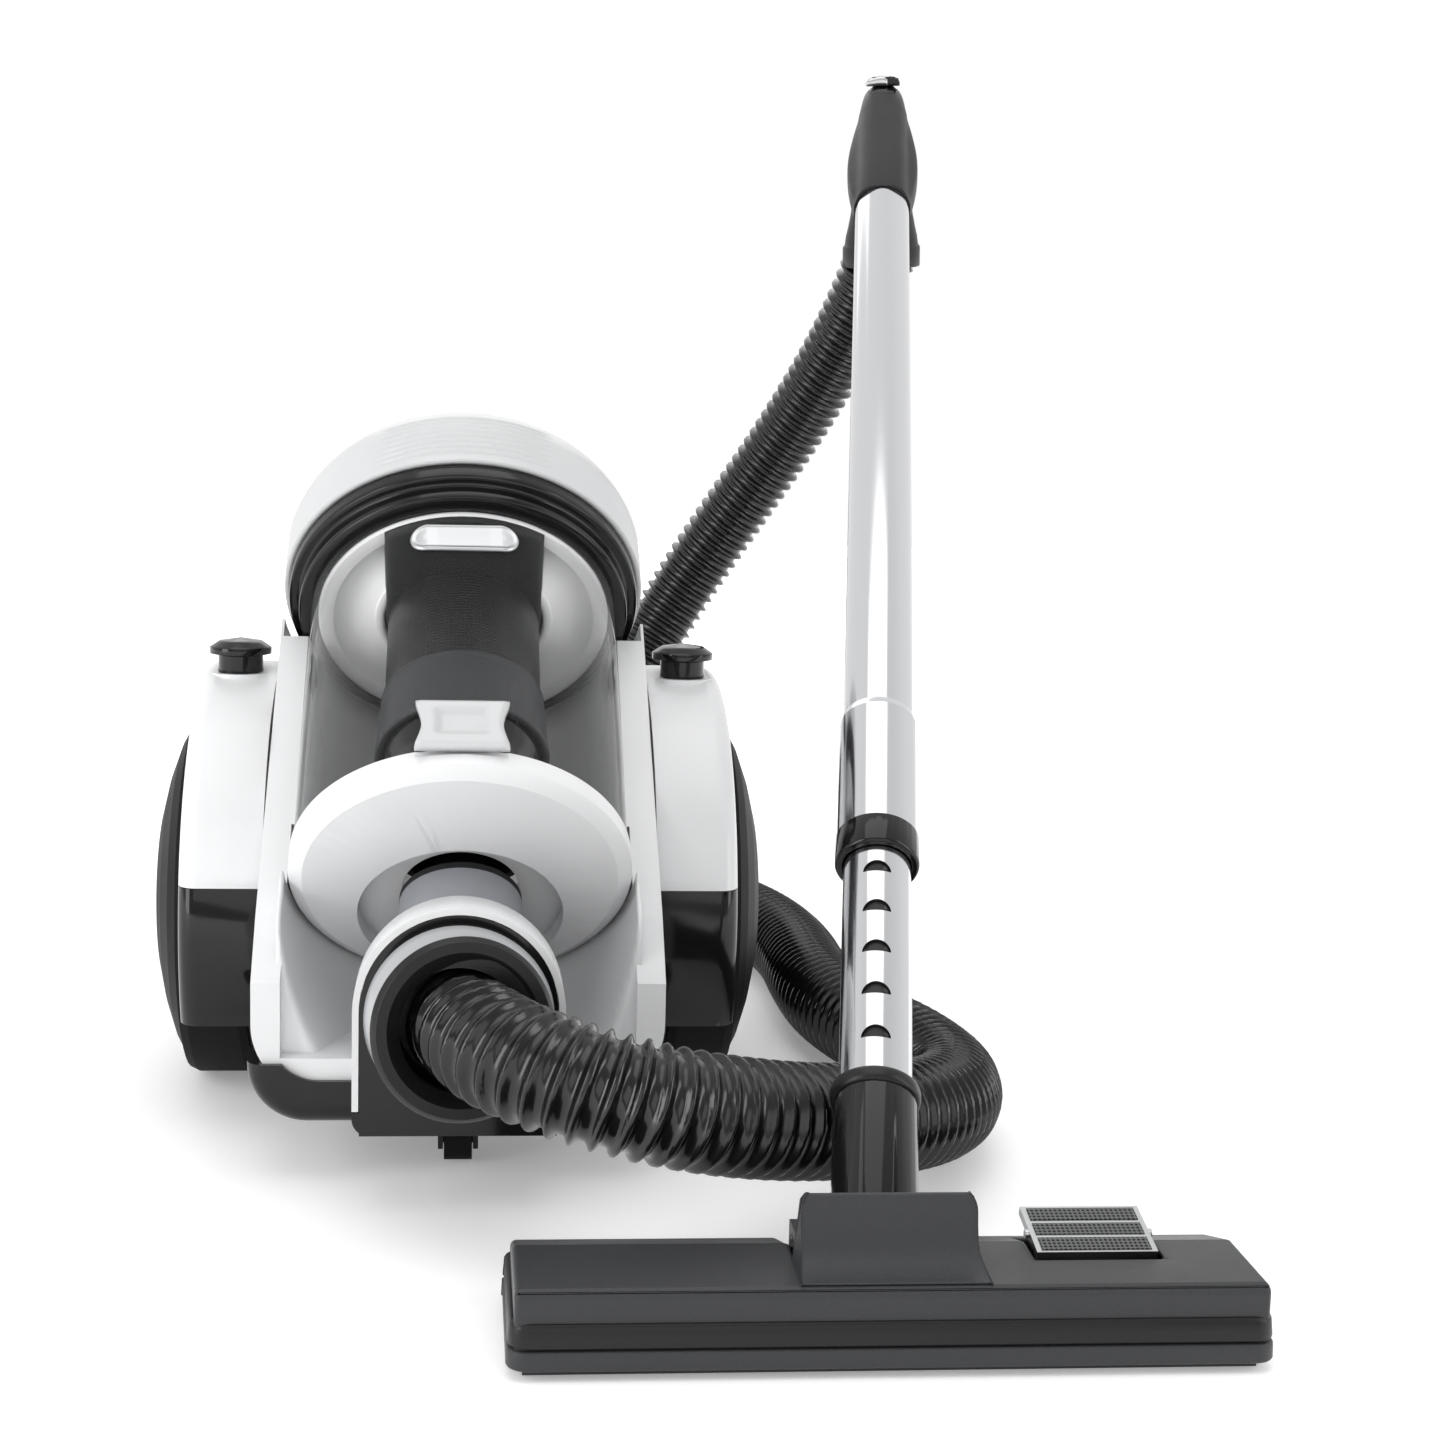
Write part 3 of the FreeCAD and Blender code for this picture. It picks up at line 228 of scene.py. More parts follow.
MAT["clear_smoke"] = clear_plastic()
dotted(MAT["mesh_metal"], CONTAINER_TILT, 0.0018, 0.30, (0.001, 0.001, 0.001),
       (0.012, 0.012, 0.0125), radius=0.0352, offset=CONTAINER_AT)
# A lighter copy of white_gloss: painted light that brightens the shaded pieces inside and behind
# the container
MAT["shade_lifted_white"] = moulded("shade_lifted_white", (0.90, 0.903, 0.91), 0.3, spread=0.02)
MAT["wheel_black"] = moulded("wheel_black", (0.006, 0.006, 0.0065), 0.5, specular=0.06)
MAT["white_dome"] = moulded("white_dome", (0.52, 0.524, 0.53), 0.32, spread=0.02)
MAT["pedal_dots"] = material("pedal_dots", (0.2, 0.2, 0.21), 0.35, metal=0.8)
dotted(MAT["pedal_dots"], PEDAL_TILT, 0.0017, 0.33, (0.004, 0.004, 0.004),
       (0.13, 0.132, 0.135), offset=PEDAL_AT)


# Edge radii of the CAD pieces, in millimetres
SOFT_EDGES = {
    "main_shell": 2.2, "lower_chassis": 2, "fender_left": 2, "fender_right": 2, "snout_plate": 1,
    "base_latch": 0.9, "container_base": 1.2, "nozzle_cover": 2.2, "bumper": 1.5, "sole_plate": 1,
    "foot_pedal": 0.6, "hood": 0.8, "exhaust_grille": 0.6, "power_button": 0.7,
    "rewind_button": 0.7, "hose_collar": 0.6, "hose_cuff": 0.6, "handle_cuff": 1.2,
    "sleeve_ring": 0.5, "nozzle_neck": 0.5, "suction_regulator": 0.8, "caster_fork": 0.5}


def finish_nodes():
    """Each CAD node gets its slot's procedural material, and its soft edges."""
    slots = {row["node"]: row["material_slot"] for row in frame["record"]["subparts"]}
    for name, obj in frame["nodes"].items():
        matt_wheel = name.startswith("wheel_") and slots[name] != "steel_plain"
        mat = MAT["wheel_black" if matt_wheel else slots[name]]
        if not obj.material_slots:
            obj.data.materials.append(mat)
        for place in obj.material_slots:
            place.material = mat
    for name, width in SOFT_EDGES.items():
        soften(frame["nodes"][name], width / 1000)


def soften(obj, width):
    """Small radii on a moulded piece's edges."""
    weld = obj.modifiers.new("weld", "WELD")
    weld.merge_threshold = 0.00001
    bevel = obj.modifiers.new("edges", "BEVEL")
    bevel.width = width
    bevel.segments = 3
    bevel.limit_method = "ANGLE"
    bevel.angle_limit = math.radians(32)
    bevel.harden_normals = True


# ---------------------------------------------------------------- hose

# The hose's middle line from its collar to the handle's cuff, in millimetres
ROUTE = [
    (-70, -224, 82), (-63, -251, 81), (-43, -275, 77), (-12, -286, 70), (22, -280, 61),
    (56, -259, 51), (88, -234, 43), (119, -202, 35), (142, -164, 28), (152, -122, 24.5),
    (147, -78, 24), (132, -36, 24.2), (120, 12, 24), (118, 66, 24.2), (120, 122, 24),
    (114, 178, 24.3), (98, 232, 24), (74, 284, 25), (50, 336, 34), (36, 384, 62),
    (36, 418, 106), (52, 436, 156), (80, 438, 206), (112, 424, 258), (144, 402, 310),
    (170, 376, 360), (187, 352, 402), (196.5, 338.9, 433.4)]


def spline_points(route):
    """Points along the hose's own smooth line."""
    data = bpy.data.curves.new("hose_line", "CURVE")
    data.dimensions = "3D"
    data.resolution_u = 24
    line = data.splines.new("NURBS")
    line.points.add(len(route) - 1)
    for point, place in zip(line.points, route):
        point.co = (*(v / 1000 for v in place), 1)
    line.order_u = 3
    line.use_endpoint_u = True
    obj = bpy.data.objects.new("hose_line", data)
    bpy.context.scene.collection.objects.link(obj)
    mesh = bpy.data.meshes.new_from_object(obj)
    points = [v.co.copy() for v in mesh.vertices]
    bpy.data.meshes.remove(mesh)
    bpy.data.objects.remove(obj)
    bpy.data.curves.remove(data)
    return points


def evenly(points, step):
    """The same line, at even steps."""
    out, left = [points[0].copy()], step
    for a, b in zip(points, points[1:]):
        length = (b - a).length
        done = 0.0
        while length - done >= left:
            done += left
            out.append(a.lerp(b, done / length))
            left = step
        left -= length - done
    if (out[-1] - points[-1]).length > step * 0.2:
        out.append(points[-1].copy())
    return out


def normals_along(points):
    """Two normals at each point of a line, without twist."""
    tangents = []
    for i in range(len(points)):
        ahead = points[min(i + 1, len(points) - 1)]
        back = points[max(i - 1, 0)]
        tangents.append((ahead - back).normalized())
    side = tangents[0].orthogonal().normalized()
    out = []
    for t in tangents:
        side = (side - t * side.dot(t)).normalized()
        out.append((side, t.cross(side)))
    return out


def tube_faces(rings, around):
    """Faces between closed rings of points."""
    faces = []
    for i in range(rings - 1):
        for j in range(around):
            k = (j + 1) % around
            faces.append((i * around + j, i * around + k, (i + 1) * around + k,
                          (i + 1) * around + j))
    return faces


def hose():
    """Corrugated hose: rounded spiral ribs over a flexible wall."""
    pitch, radius, depth, narrowness, per_rib, around = 0.0076, 0.0229, 0.0033, 2.2, 10, 40
    line = evenly(spline_points(ROUTE), pitch / per_rib)
    points = []
    for i, (place, (side, up)) in enumerate(zip(line, normals_along(line))):
        for j in range(around):
            turn = 2 * math.pi * j / around
            phase = (i / per_rib + j / around) % 1.0
            rib = (0.5 - 0.5 * math.cos(2 * math.pi * phase)) ** narrowness
            points.append(place + (side * math.cos(turn) + up * math.sin(turn))
                          * (radius - depth * (1 - rib)))
    tube = new_object("hose_ribbed", points, tube_faces(len(line), around))
    tube.data.materials.append(MAT["hose_plastic"])
    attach(tube, "canister")
    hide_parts("hose")


# ---------------------------------------------------------------- container

# The container's own frame: its axis is Z, its front is -Y, its open top at zero
CONTAINER = Matrix.Translation(CONTAINER_AT) @ Matrix.Rotation(
    math.radians(CONTAINER_TILT), 4, "X")


def placed(name, points, faces, pose, mat, body, smooth=True):
    """A piece from points in millimetres in one of the object's own frames."""
    obj = new_object(name, [pose @ (Vector(p) / 1000) for p in points], faces, smooth)
    obj.data.materials.append(MAT[mat])
    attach(obj, body)
    return obj


def curve_through(points, per=6):
    """Points on a smooth line through the given ones."""
    out = []
    for i in range(len(points) - 1):
        a = Vector(points[max(i - 1, 0)])
        b = Vector(points[i])
        c = Vector(points[i + 1])
        d = Vector(points[min(i + 2, len(points) - 1)])
        for k in range(per):
            t = k / per
            out.append(0.5 * (2 * b + (c - a) * t + (2 * a - 5 * b + 4 * c - d) * t * t
                              + (3 * b - a - 3 * c + d) * t ** 3))
    out.append(Vector(points[-1]))
    return out


def revolved(profile, around, radius_at=None):
    """Points and faces of a profile of (radius, height) turned about the local Z.

    radius_at(angle, height), where given, is added to the radius.
    """
    points = []
    for r, z in profile:
        for j in range(around):
            a = 2 * math.pi * j / around
            grown = r + (radius_at(a, z) if radius_at else 0)
            points.append((grown * math.sin(a), -grown * math.cos(a), z))
    return points, tube_faces(len(profile), around)


def refined(profile, steps_between):
    """A profile with more points on its straight stretches."""
    out = []
    for (r0, z0), (r1, z1) in zip(profile, profile[1:]):
        steps = steps_between(r0, z0, r1, z1)
        for k in range(steps):
            t = k / steps
            out.append((r0 + (r1 - r0) * t, z0 + (z1 - z0) * t))
    out.append(profile[-1])
    return out


def cowl():
    """White dome over the cyclone with fine ribs across its front."""
    outer = curve_through([(84.4, 0.3), (84.5, 8), (84.5, 16), (83.6, 27), (78.4, 39), (68, 49),
                           (52, 56), (30, 60), (1, 61)], 14)
    lowest, highest, rib_pitch, rib_depth = 4, 33, 3.625, 0.9
    reach, fade = math.radians(29), math.radians(4)

    def ribs(a, z):
        a = (a + math.pi) % (2 * math.pi) - math.pi
        if not lowest < z < highest:
            return 0
        ends = min(max((reach - abs(a)) / fade, 0), 1)
        wave = 0.5 - 0.5 * math.cos(2 * math.pi * (z - lowest) / rib_pitch)
        return -rib_depth * ends * wave

    def rib_steps(r0, z0, r1, z1):
        return max(int(math.hypot(r1 - r0, z1 - z0) / 0.45), 1) if z0 < highest + 1 else 1

    inner = [(81.4, 0.3), (81.4, 16), (80, 27), (75, 37), (66, 46), (50, 53), (28, 57), (1, 58)]
    points, faces = revolved(list(reversed(inner)) + refined(outer, rib_steps), 240, ribs)
    obj = placed("cowl_ribbed", points, faces, CONTAINER, "white_dome", "container")
    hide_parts("cowl")


def ring():
    """Black double ring at the container's top."""
    profile = [(66, -15.9), (76, -15.9), (76.8, -15.2), (77, -14.6), (77, -9.8), (77.3, -9),
               (78, -8.5), (80.8, -8.3), (81.7, -7.8), (82, -7), (82, -1), (81.6, -0.3),
               (81, 0), (28, 0), (28, -4), (66, -4), (66, -15.9)]
    points, faces = revolved(refined(profile, lambda *ends: 3), 160)
    obj = placed("container_collar", points, faces, CONTAINER, "black_gloss", "container")
    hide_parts("container_ring")


def badge():
    """Plain oval plate with a raised rim, bent round the bin."""
    # distance in from the outline, distance from the container's axis
    levels = [(0.0, 71.05), (0.0, 71.7), (0.35, 72.2), (1.0, 72.35), (1.5, 72.2), (1.9, 71.95),
              (3, 71.95), (5.5, 71.95), (7.9, 71.95)]
    around, half, radius, middle, bend = 96, 16.5, 8.0, -35, 72
    points = []
    for inset, height in levels:
        for j in range(around):
            a = 2 * math.pi * j / around
            x = (radius - inset) * math.cos(a) + (half if math.cos(a) >= 0 else -half)
            z = middle + (radius - inset) * math.sin(a)
            turn = x / bend
            points.append((height * math.sin(turn), -height * math.cos(turn), z))
    faces = tube_faces(len(levels), around)
    last = (len(levels) - 1) * around
    faces.append(tuple(range(last, last + around)))
    obj = placed("badge_plate", points, faces, CONTAINER, "badge_silver", "container")
    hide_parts("badge")


def grid_faces(rows, columns):
    """Faces of an open grid of points."""
    return [(i * columns + j, i * columns + j + 1, (i + 1) * columns + j + 1,
             (i + 1) * columns + j) for i in range(rows - 1) for j in range(columns - 1)]


def plate(name, front, back, rows, columns, pose, mat, body):
    """A closed plate from matching grids of front and back points."""
    points = front + back
    size = rows * columns
    faces = grid_faces(rows, columns)
    faces += [tuple(reversed([i + size for i in face])) for face in grid_faces(rows, columns)]
    rim = ([j for j in range(columns)] + [i * columns + columns - 1 for i in range(1, rows)]
           + [(rows - 1) * columns + j for j in range(columns - 2, -1, -1)]
           + [i * columns for i in range(rows - 2, 0, -1)])
    faces += [(rim[k], rim[k - 1], rim[k - 1] + size, rim[k] + size) for k in range(len(rim))]
    return placed(name, points, faces, pose, mat, body)


def step(low, high, value):
    """A smooth rise from 0 to 1 between low and high."""
    t = min(max((value - low) / (high - low), 0), 1)
    return t * t * (3 - 2 * t)


def latch():
    """Saddle-shaped latch with a finger recess at the base's front edge."""
    rows, columns, foot, height, widest, waist = 41, 41, -163, 25, 19.1, 2.6
    face_y, rear_y, deepest = -77.2, -72.8, 2.2
    front, back = [], []
    for i in range(rows):
        t = i / (rows - 1)
        z = foot + height * t
        half = widest - waist * math.sin(math.pi * t) ** 1.5
        for j in range(columns):
            x = -half + 2 * half * j / (columns - 1)
            edge = min(j, columns - 1 - j) / (columns - 1)
            end = min(i, rows - 1 - i) / (rows - 1)
            round_off = 1.5 * (1 - step(0, 0.05, edge)) + 1.5 * (1 - step(0, 0.08, end))
            hollow = deepest * step(0.14, 0.26, edge) * step(0.2, 0.36, t)
            hollow *= 1 - step(0.7, 0.84, t)
            front.append((x, face_y + min(round_off, 1.9) + hollow, z))
            back.append((x, rear_y, z))
    obj = plate("latch_saddle", front, back, rows, columns, CONTAINER, "white_dome", "latch")
    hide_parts("base_latch")


def cyclone_skirt():
    """Cone round the foot of the mesh."""
    profile = [(35.4, -71), (36.6, -71.6), (36.9, -72.4), (36.6, -73.4), (37.0, -76), (38.4, -102),
               (38.8, -103.4), (38.4, -104.6), (37.4, -105), (35.4, -105), (35.4, -71)]
    points, faces = revolved(profile, 96)
    placed("cyclone_skirt", points, faces, CONTAINER, "mid_grey_plastic", "container")


def separator():
    """Pale stepped plate round the column, under the black ring, in a white lighter than the
    shell's: painted light in the shade under the ring.
    """
    profile = [(37.2, -16.2), (37.2, -18.4), (38.4, -19), (41, -19), (41.6, -18.4), (41.8, -17.4),
               (60, -17.2), (60.4, -18), (61.2, -18.4), (66.4, -18.4), (67.6, -18), (67.8, -17),
               (67.8, -16.2), (37.2, -16.2)]
    points, faces = revolved(profile, 128)
    placed("separator", points, faces, CONTAINER, "shade_lifted_white", "container")


def column_head():
    """Black inlet head that widens the column's top towards the front wall."""
    rows, columns, half, reach, chamfer = 15, 25, 36.4, 67.3, 0.9
    front, back = [], []
    for z, out in ((-21.5, front), (-16.4, back)):
        for i in range(rows):
            for j in range(columns):
                x = -half + 2 * half * j / (columns - 1)
                rim = i in (0, rows - 1) or j in (0, columns - 1)
                inset = chamfer if out is front and rim else 0
                x *= 1 - inset / half
                y = -(math.sqrt(reach ** 2 - x * x) - inset) * (1 - i / (rows - 1))
                out.append((x, y, z + inset))
    plate("column_head", front, back, rows, columns, CONTAINER, "black_satin", "container")


def cradle():
    """White half-round wall that the container rests in, in a white lighter than the shell's:
    painted light in its shade behind the container.
    """
    rows, columns, foot, height = 9, 61, -160, 141
    front, back = [], []
    for radius, out in ((72.9, front), (73.8, back)):
        for i in range(rows):
            for j in range(columns):
                a = math.radians(-80 + 160 * j / (columns - 1))
                z = foot + height * i / (rows - 1)
                out.append((radius * math.sin(a), radius * math.cos(a), z))
    plate("cradle", front, back, rows, columns, CONTAINER, "shade_lifted_white", "canister")


def apron():
    """White wall under the container, between the shell's arms and the tray."""
    rows, columns, side, lowest, foremost, depth = 15, 61, 76.2, 50.5, -172, 165
    inner_radius, outer_radius, reach = 74.6, 76.4, 88
    middle, ahead_at, height_at = -70, -28.6, 235
    lean_sin, lean_cos = 0.760406, 0.649448
    front, back = [], []
    for radius, out in ((inner_radius, front), (outer_radius, back)):
        for i in range(rows):
            for j in range(columns):
                a = math.radians(-reach + 2 * reach * (j - 1) / (columns - 3))
                flange = j in (0, columns - 1)
                a = math.radians(math.copysign(reach, j - 1)) if flange else a
                x, y = radius * math.sin(a), radius * math.cos(a)
                top = height_at - lean_sin * y - lean_cos * depth
                z = top + (lowest - top) * i / (rows - 1)
                along = (z - height_at + lean_sin * y) / lean_cos
                ahead = max(ahead_at + lean_cos * y + lean_sin * along, foremost)
                out.append((middle + (math.copysign(side, x) if flange else x),
                            ahead + (radius - inner_radius), z))
    plate("apron", front, back, rows, columns, Matrix.Identity(4), "white_gloss", "canister")


# ---------------------------------------------------------------- handle

# The wand's own frame, with its axis as Z
SIDE = Vector((0.981143, -0.191577, 0.025629))
BACK = Vector((0.137890, 0.600859, -0.787372))
UP = Vector((0.1354426, 0.7760584, 0.6159453))
WAND = Matrix((SIDE, BACK, UP)).transposed().to_4x4()
WAND.translation = Vector((0.086, -0.275, 0.074))


# The handle's line: its start on the wand, its straight length, and the bend after it
HANDLE_START, STRAIGHT, BEND_RADIUS, BEND = 602, 98, 40, math.radians(118)


def handle_place(s):
    """Centre and direction, in the wand's frame, at a distance along the handle."""
    if s < STRAIGHT:
        return Vector((0, 0, HANDLE_START + s)), Vector((0, 0, 1))
    turn = min((s - STRAIGHT) / BEND_RADIUS, BEND)
    past = max(s - STRAIGHT - BEND_RADIUS * BEND, 0)
    spot = Vector((0, BEND_RADIUS * (1 - math.cos(turn)),
                   HANDLE_START + STRAIGHT + BEND_RADIUS * math.sin(turn)))
    ahead = Vector((0, math.sin(turn), math.cos(turn)))
    return spot + ahead * past, ahead


# Distance along the handle, half width, depth towards the front, depth towards the rear
GRIP_ROWS = [Vector(row) for row in (
    (0, 16.2, 16.2, 17.0), (6, 16.6, 16.5, 18.5), (16, 18.6, 16.8, 22.0), (34, 20.4, 17.2, 24.5),
    (54, 20.2, 17.4, 23.5), (76, 17.8, 17.2, 19.5), (96, 14.8, 17.0, 17.0),
    (112, 13.2, 17.0, 15.5), (128, 13.0, 17.0, 15.0), (148, 14.0, 16.6, 15.0),
    (168, 15.5, 16.5, 16.0), (184, 17.0, 17.0, 17.0), (200, 18.0, 18.0, 18.0))]


def grip():
    """Hand grip: a flat front face over side bulges, narrowing over the bend."""
    rows = curve_through(GRIP_ROWS)
    around, squareness, face_half, lip_radius = 96, 0.8, 15.2, 15.4
    points = []
    for s, half, front, rear in rows:
        for j in range(around):
            a = 2 * math.pi * j / around
            c, w = math.cos(a), math.sin(a)
            face = face_half + 0.6 * max(1 - abs(s - 40) / 40, 0)
            seam = step(0.0, 0.16, c - 0.28) if c > 0 else 0
            wide = half + (min(face, half) - half) * seam
            x = wide * math.copysign(abs(w) ** (squareness - 0.14 * seam), w)
            depth = (front - 3.2 * (1 - seam)) if c > 0 else rear
            y = -depth * math.copysign(abs(c) ** squareness, c)
            spot, ahead = handle_place(s)
            across = Vector((0, ahead.z, -ahead.y))
            points.append(spot + Vector((1, 0, 0)) * x + across * y)
    faces = tube_faces(len(rows), around)
    lip = len(points)
    for j in range(around):
        a = 2 * math.pi * j / around
        points.append(Vector((lip_radius * math.sin(a), -lip_radius * math.cos(a),
                              points[j][2] + 0.3)))
    for j in range(around):
        k = (j + 1) % around
        faces.append((lip + j, lip + k, k, j))
    obj = placed("grip_body", points, faces, WAND, "dark_grey_plastic", "canister")
    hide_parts("handle_grip")


def wand_rings():
    """Dark liner inside the slotted tube and the neck's rounded rim."""
    liner, faces = revolved([(12.5, -20), (12.5, 400), (12.2, 400), (12.2, -20), (12.5, -20)], 48)
    placed("tube_liner", liner, faces, WAND, "black_satin", "lower_wand")
    rim, faces = revolved([(14.2, -13), (15.9, -13), (16.6, -12.2), (16.9, -11), (16.9, -8.6),
                           (16.5, -7.2), (15.6, -6.4), (14.2, -6.2), (14.2, -13)], 72)
    placed("neck_rim", rim, faces, WAND, "black_satin", "lower_wand")


def cuff():
    """Cuff at the handle's lower end, tapering up from the hose."""
    into_hose = Vector((0.0582, 0.1662, -0.9844)).normalized()
    pose = (-into_hose).to_track_quat("Z", "Y").to_matrix().to_4x4()
    pose.translation = Vector((0.19649, 0.33894, 0.43338))
    profile = [(22.9, 12), (22.9, -6.7), (23.4, -7), (24.4, -7), (24.8, -6.4), (24.8, 5), (24.2, 6),
               (23.6, 6.6), (22.8, 12), (21.4, 18), (19.8, 26), (18.8, 34), (16, 34), (16, 12),
               (22.9, 12)]
    points, faces = revolved(profile, 72)
    obj = placed("cuff_tapered", points, faces, pose, "dark_grey_plastic", "canister")
    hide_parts("handle_cuff")


def slider():
    """Bright curved cap on the suction slider, with a dark thumb rib."""
    axis = Vector((0.186242, 0.972516, 0.139738)).normalized()
    sideways = (SIDE - axis * SIDE.dot(axis)).normalized()
    up = sideways.cross(axis)
    pose = Matrix((sideways, axis, up)).transposed().to_4x4()
    pose.translation = Vector((0.18215, 0.27865, 0.5300))
    length, curve, rounding, underside = 15.6, 0.02, 2.2, -1.0
    for name, low, high, top, mat in (("slider_cap", -10.5, 2.6, 5.0, "badge_silver"),
                                      ("slider_rib", 2.8, 10.0, 4.8, "dark_grey_plastic")):
        rows, columns = 13, 17
        front, back = [], []
        for i in range(rows):
            y = -length / 2 + length * i / (rows - 1)
            for j in range(columns):
                x = low + (high - low) * j / (columns - 1)
                edge = min(min(i, rows - 1 - i) / (rows - 1), min(j, columns - 1 - j) / columns)
                z = top - curve * x * x - rounding * (1 - step(0, 0.12, edge))
                front.append((x, y, z))
                back.append((x, y, underside))
        plate(name, front, back, rows, columns, pose, mat, "regulator")


def bleed_slot():
    """Dark glossy sheet on top of the bend, under the suction slider: painted shade where the
    opening is.
    """
    points = []
    across, along, start, length, width = 8, 14, 102, 38, 16.4
    grip_half, grip_height = 13.4, 17.0
    for i in range(along + 1):
        for j in range(across + 1):
            s = start + length * i / along
            x = -width / 2 + width * j / across
            edge = min(i, along - i, 1) * min(j, across - j, 1)
            spot, ahead = handle_place(s)
            out = Vector((0, -ahead.z, ahead.y))
            height = grip_height * math.sqrt(max(1 - (x / grip_half) ** 2 * 0.35, 0))
            height += 0.35 if edge else -0.5
            points.append(spot + out * height + Vector((x, 0, 0)))
    # Painted shade: a black sheet laid on the grip where the opening is
    placed("bleed_slot", points, grid_faces(along + 1, across + 1), WAND, "black_gloss",
           "canister")


# ---------------------------------------------------------------- nozzle

# The nozzle's frame, at the tilt's axis, and how far back the belts reach in it
PIVOT = Matrix.Translation((0.077, -0.3315, 0.029))
BELT_REAR = 23


def saddle():
    """Curved hood in front of the neck, flaring onto the cover."""
    profile = curve_through([(-15.0, 23.4), (-15.5, 25.4), (-17.0, 26.3), (-18.6, 25.4),
                             (-19.4, 21.6), (-20.3, 16.0), (-22.0, 10.8), (-25.2, 6.8),
                             (-29.2, 4.2), (-33.2, 2.6), (-36.2, 1.9)], 5)
    back = [(-36.2, 1.2), (-15.3, 1.7)]
    outline = profile + [Vector(point) for point in back]
    points, columns = [], 24
    crown, crown_height, widest, flare = 19.8, 6.6, 30.6, 2.4
    for j in range(columns + 1):
        t = -1 + 2 * j / columns
        for y, z in outline:
            above = max(z - crown, 0) / crown_height
            round_top = 3.4 * (1 - math.sqrt(max(1 - above ** 2, 0)))
            half = widest + flare * max(1 - z / 9, 0) ** 1.6 - round_top
            points.append((half * t, y, z))
    rows = len(outline)
    faces = tube_faces(columns + 1, rows)
    faces.append(tuple(range(rows)))
    faces.append(tuple(reversed(range(columns * rows, columns * rows + rows))))
    obj = placed("hood_saddle", points, faces, PIVOT, "mid_grey_plastic", "nozzle")
    soften(obj, 0.0009)


def wrap(half, front, back, corner, steps=8):
    """An open line round the nozzle's front, with round corners, in millimetres."""
    out = [(half, back)]
    for cx, start in ((half - corner, 0), (corner - half, -90)):
        for k in range(steps + 1):
            a = math.radians(start - 90 * k / steps)
            out.append((cx + corner * math.cos(a), front + corner + corner * math.sin(a)))
    return out + [(-half, back)]


def band(name, levels, mat, replaced=None):
    """A rounded belt round the nozzle: levels of (height, half width, front, corner)."""
    thick = 4
    loops = []
    for z, half, front, corner in levels:
        loops.append([(x, y, z) for x, y in wrap(half, front, BELT_REAR, corner)])
    for z, half, front, corner in (levels[-1], levels[0]):
        inner = wrap(half - thick, front + thick, BELT_REAR, max(corner - thick, 1))
        loops.append([(x, y, z) for x, y in inner])
    count = len(loops[0])
    points = [p for loop in loops for p in loop]
    faces = []
    for i in range(len(loops)):
        n = (i + 1) % len(loops)
        for j in range(count - 1):
            faces.append((i * count + j, i * count + j + 1, n * count + j + 1, n * count + j))
    faces.append(tuple(i * count for i in reversed(range(len(loops)))))
    faces.append(tuple(i * count + count - 1 for i in range(len(loops))))
    obj = placed(name, points, faces, PIVOT, mat, "nozzle")
    bevel = obj.modifiers.new("edges", "BEVEL")
    bevel.width = 0.0004
    bevel.limit_method = "ANGLE"
    if replaced:
        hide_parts(replaced)


def belts():
    """Grooved belts round the nozzle's lower edge."""
    upper = [(-18.4, 129.6, -40.4, 7), (-17.8, 130.2, -41.0, 7), (-11.4, 129.7, -40.6, 7),
             (-10.4, 129.0, -40.0, 7), (-9.9, 128.2, -39.4, 7)]
    lower = [(-26.0, 129.4, -40.6, 7), (-25.4, 130.6, -41.4, 7), (-19.6, 130.4, -41.3, 7),
             (-19.0, 129.6, -40.6, 7)]
    band("belt_upper", upper, "black_satin", "bumper")
    band("belt_lower", lower, "mid_grey_plastic")


def pedal_face():
    """Three dotted fields on the foot pedal, which leave two bright bars between them."""
    pose = Matrix.Translation(PEDAL_AT) @ Matrix.Rotation(math.radians(PEDAL_TILT), 4, "X")
    half, low_z, high_z = 19.5, 3.1, 3.55
    for index, (low, high) in enumerate(((-10.8, -4.2), (-2.2, 4.0), (6.0, 12.6))):
        points = [(x, y, z) for z in (low_z, high_z) for x, y in (
            (-half, low), (half, low), (half, high), (-half, high))]
        faces = [(4, 5, 6, 7), (0, 1, 5, 4), (1, 2, 6, 5), (2, 3, 7, 6), (3, 0, 4, 7)]
        placed(f"pedal_field_{index}", points, faces, pose, "pedal_dots", "pedal",
               smooth=False)


# ---------------------------------------------------------------- stage, lights and camera


def floor_painted_glow():
    """Pale floor with painted light: it glows, weakly near the object as painted shade and brighter
    away from it, like a lit studio sweep.
    """
    mat = material("floor_painted_glow", (0.88, 0.88, 0.88), 0.6, specular=0.2)
    nodes, links, shader = nodes_of(mat)
    coords = nodes.new("ShaderNodeTexCoord")
    away = nodes.new("ShaderNodeVectorMath")
    away.operation = "LENGTH"
    spread = nodes.new("ShaderNodeMapRange")
    spread.inputs["From Min"].default_value = 0.35
    spread.inputs["From Max"].default_value = 1.6
    spread.inputs["To Min"].default_value = 0.22
    spread.inputs["To Max"].default_value = 0.85
    links.new(coords.outputs["Object"], away.inputs[0])
    links.new(away.outputs["Value"], spread.inputs["Value"])
    # Painted light: emission on the floor, lower near the object as painted shade
    links.new(spread.outputs["Result"], shader.inputs["Emission Strength"])
    shader.inputs["Emission Color"].default_value = (1, 1, 1, 1)
    return mat


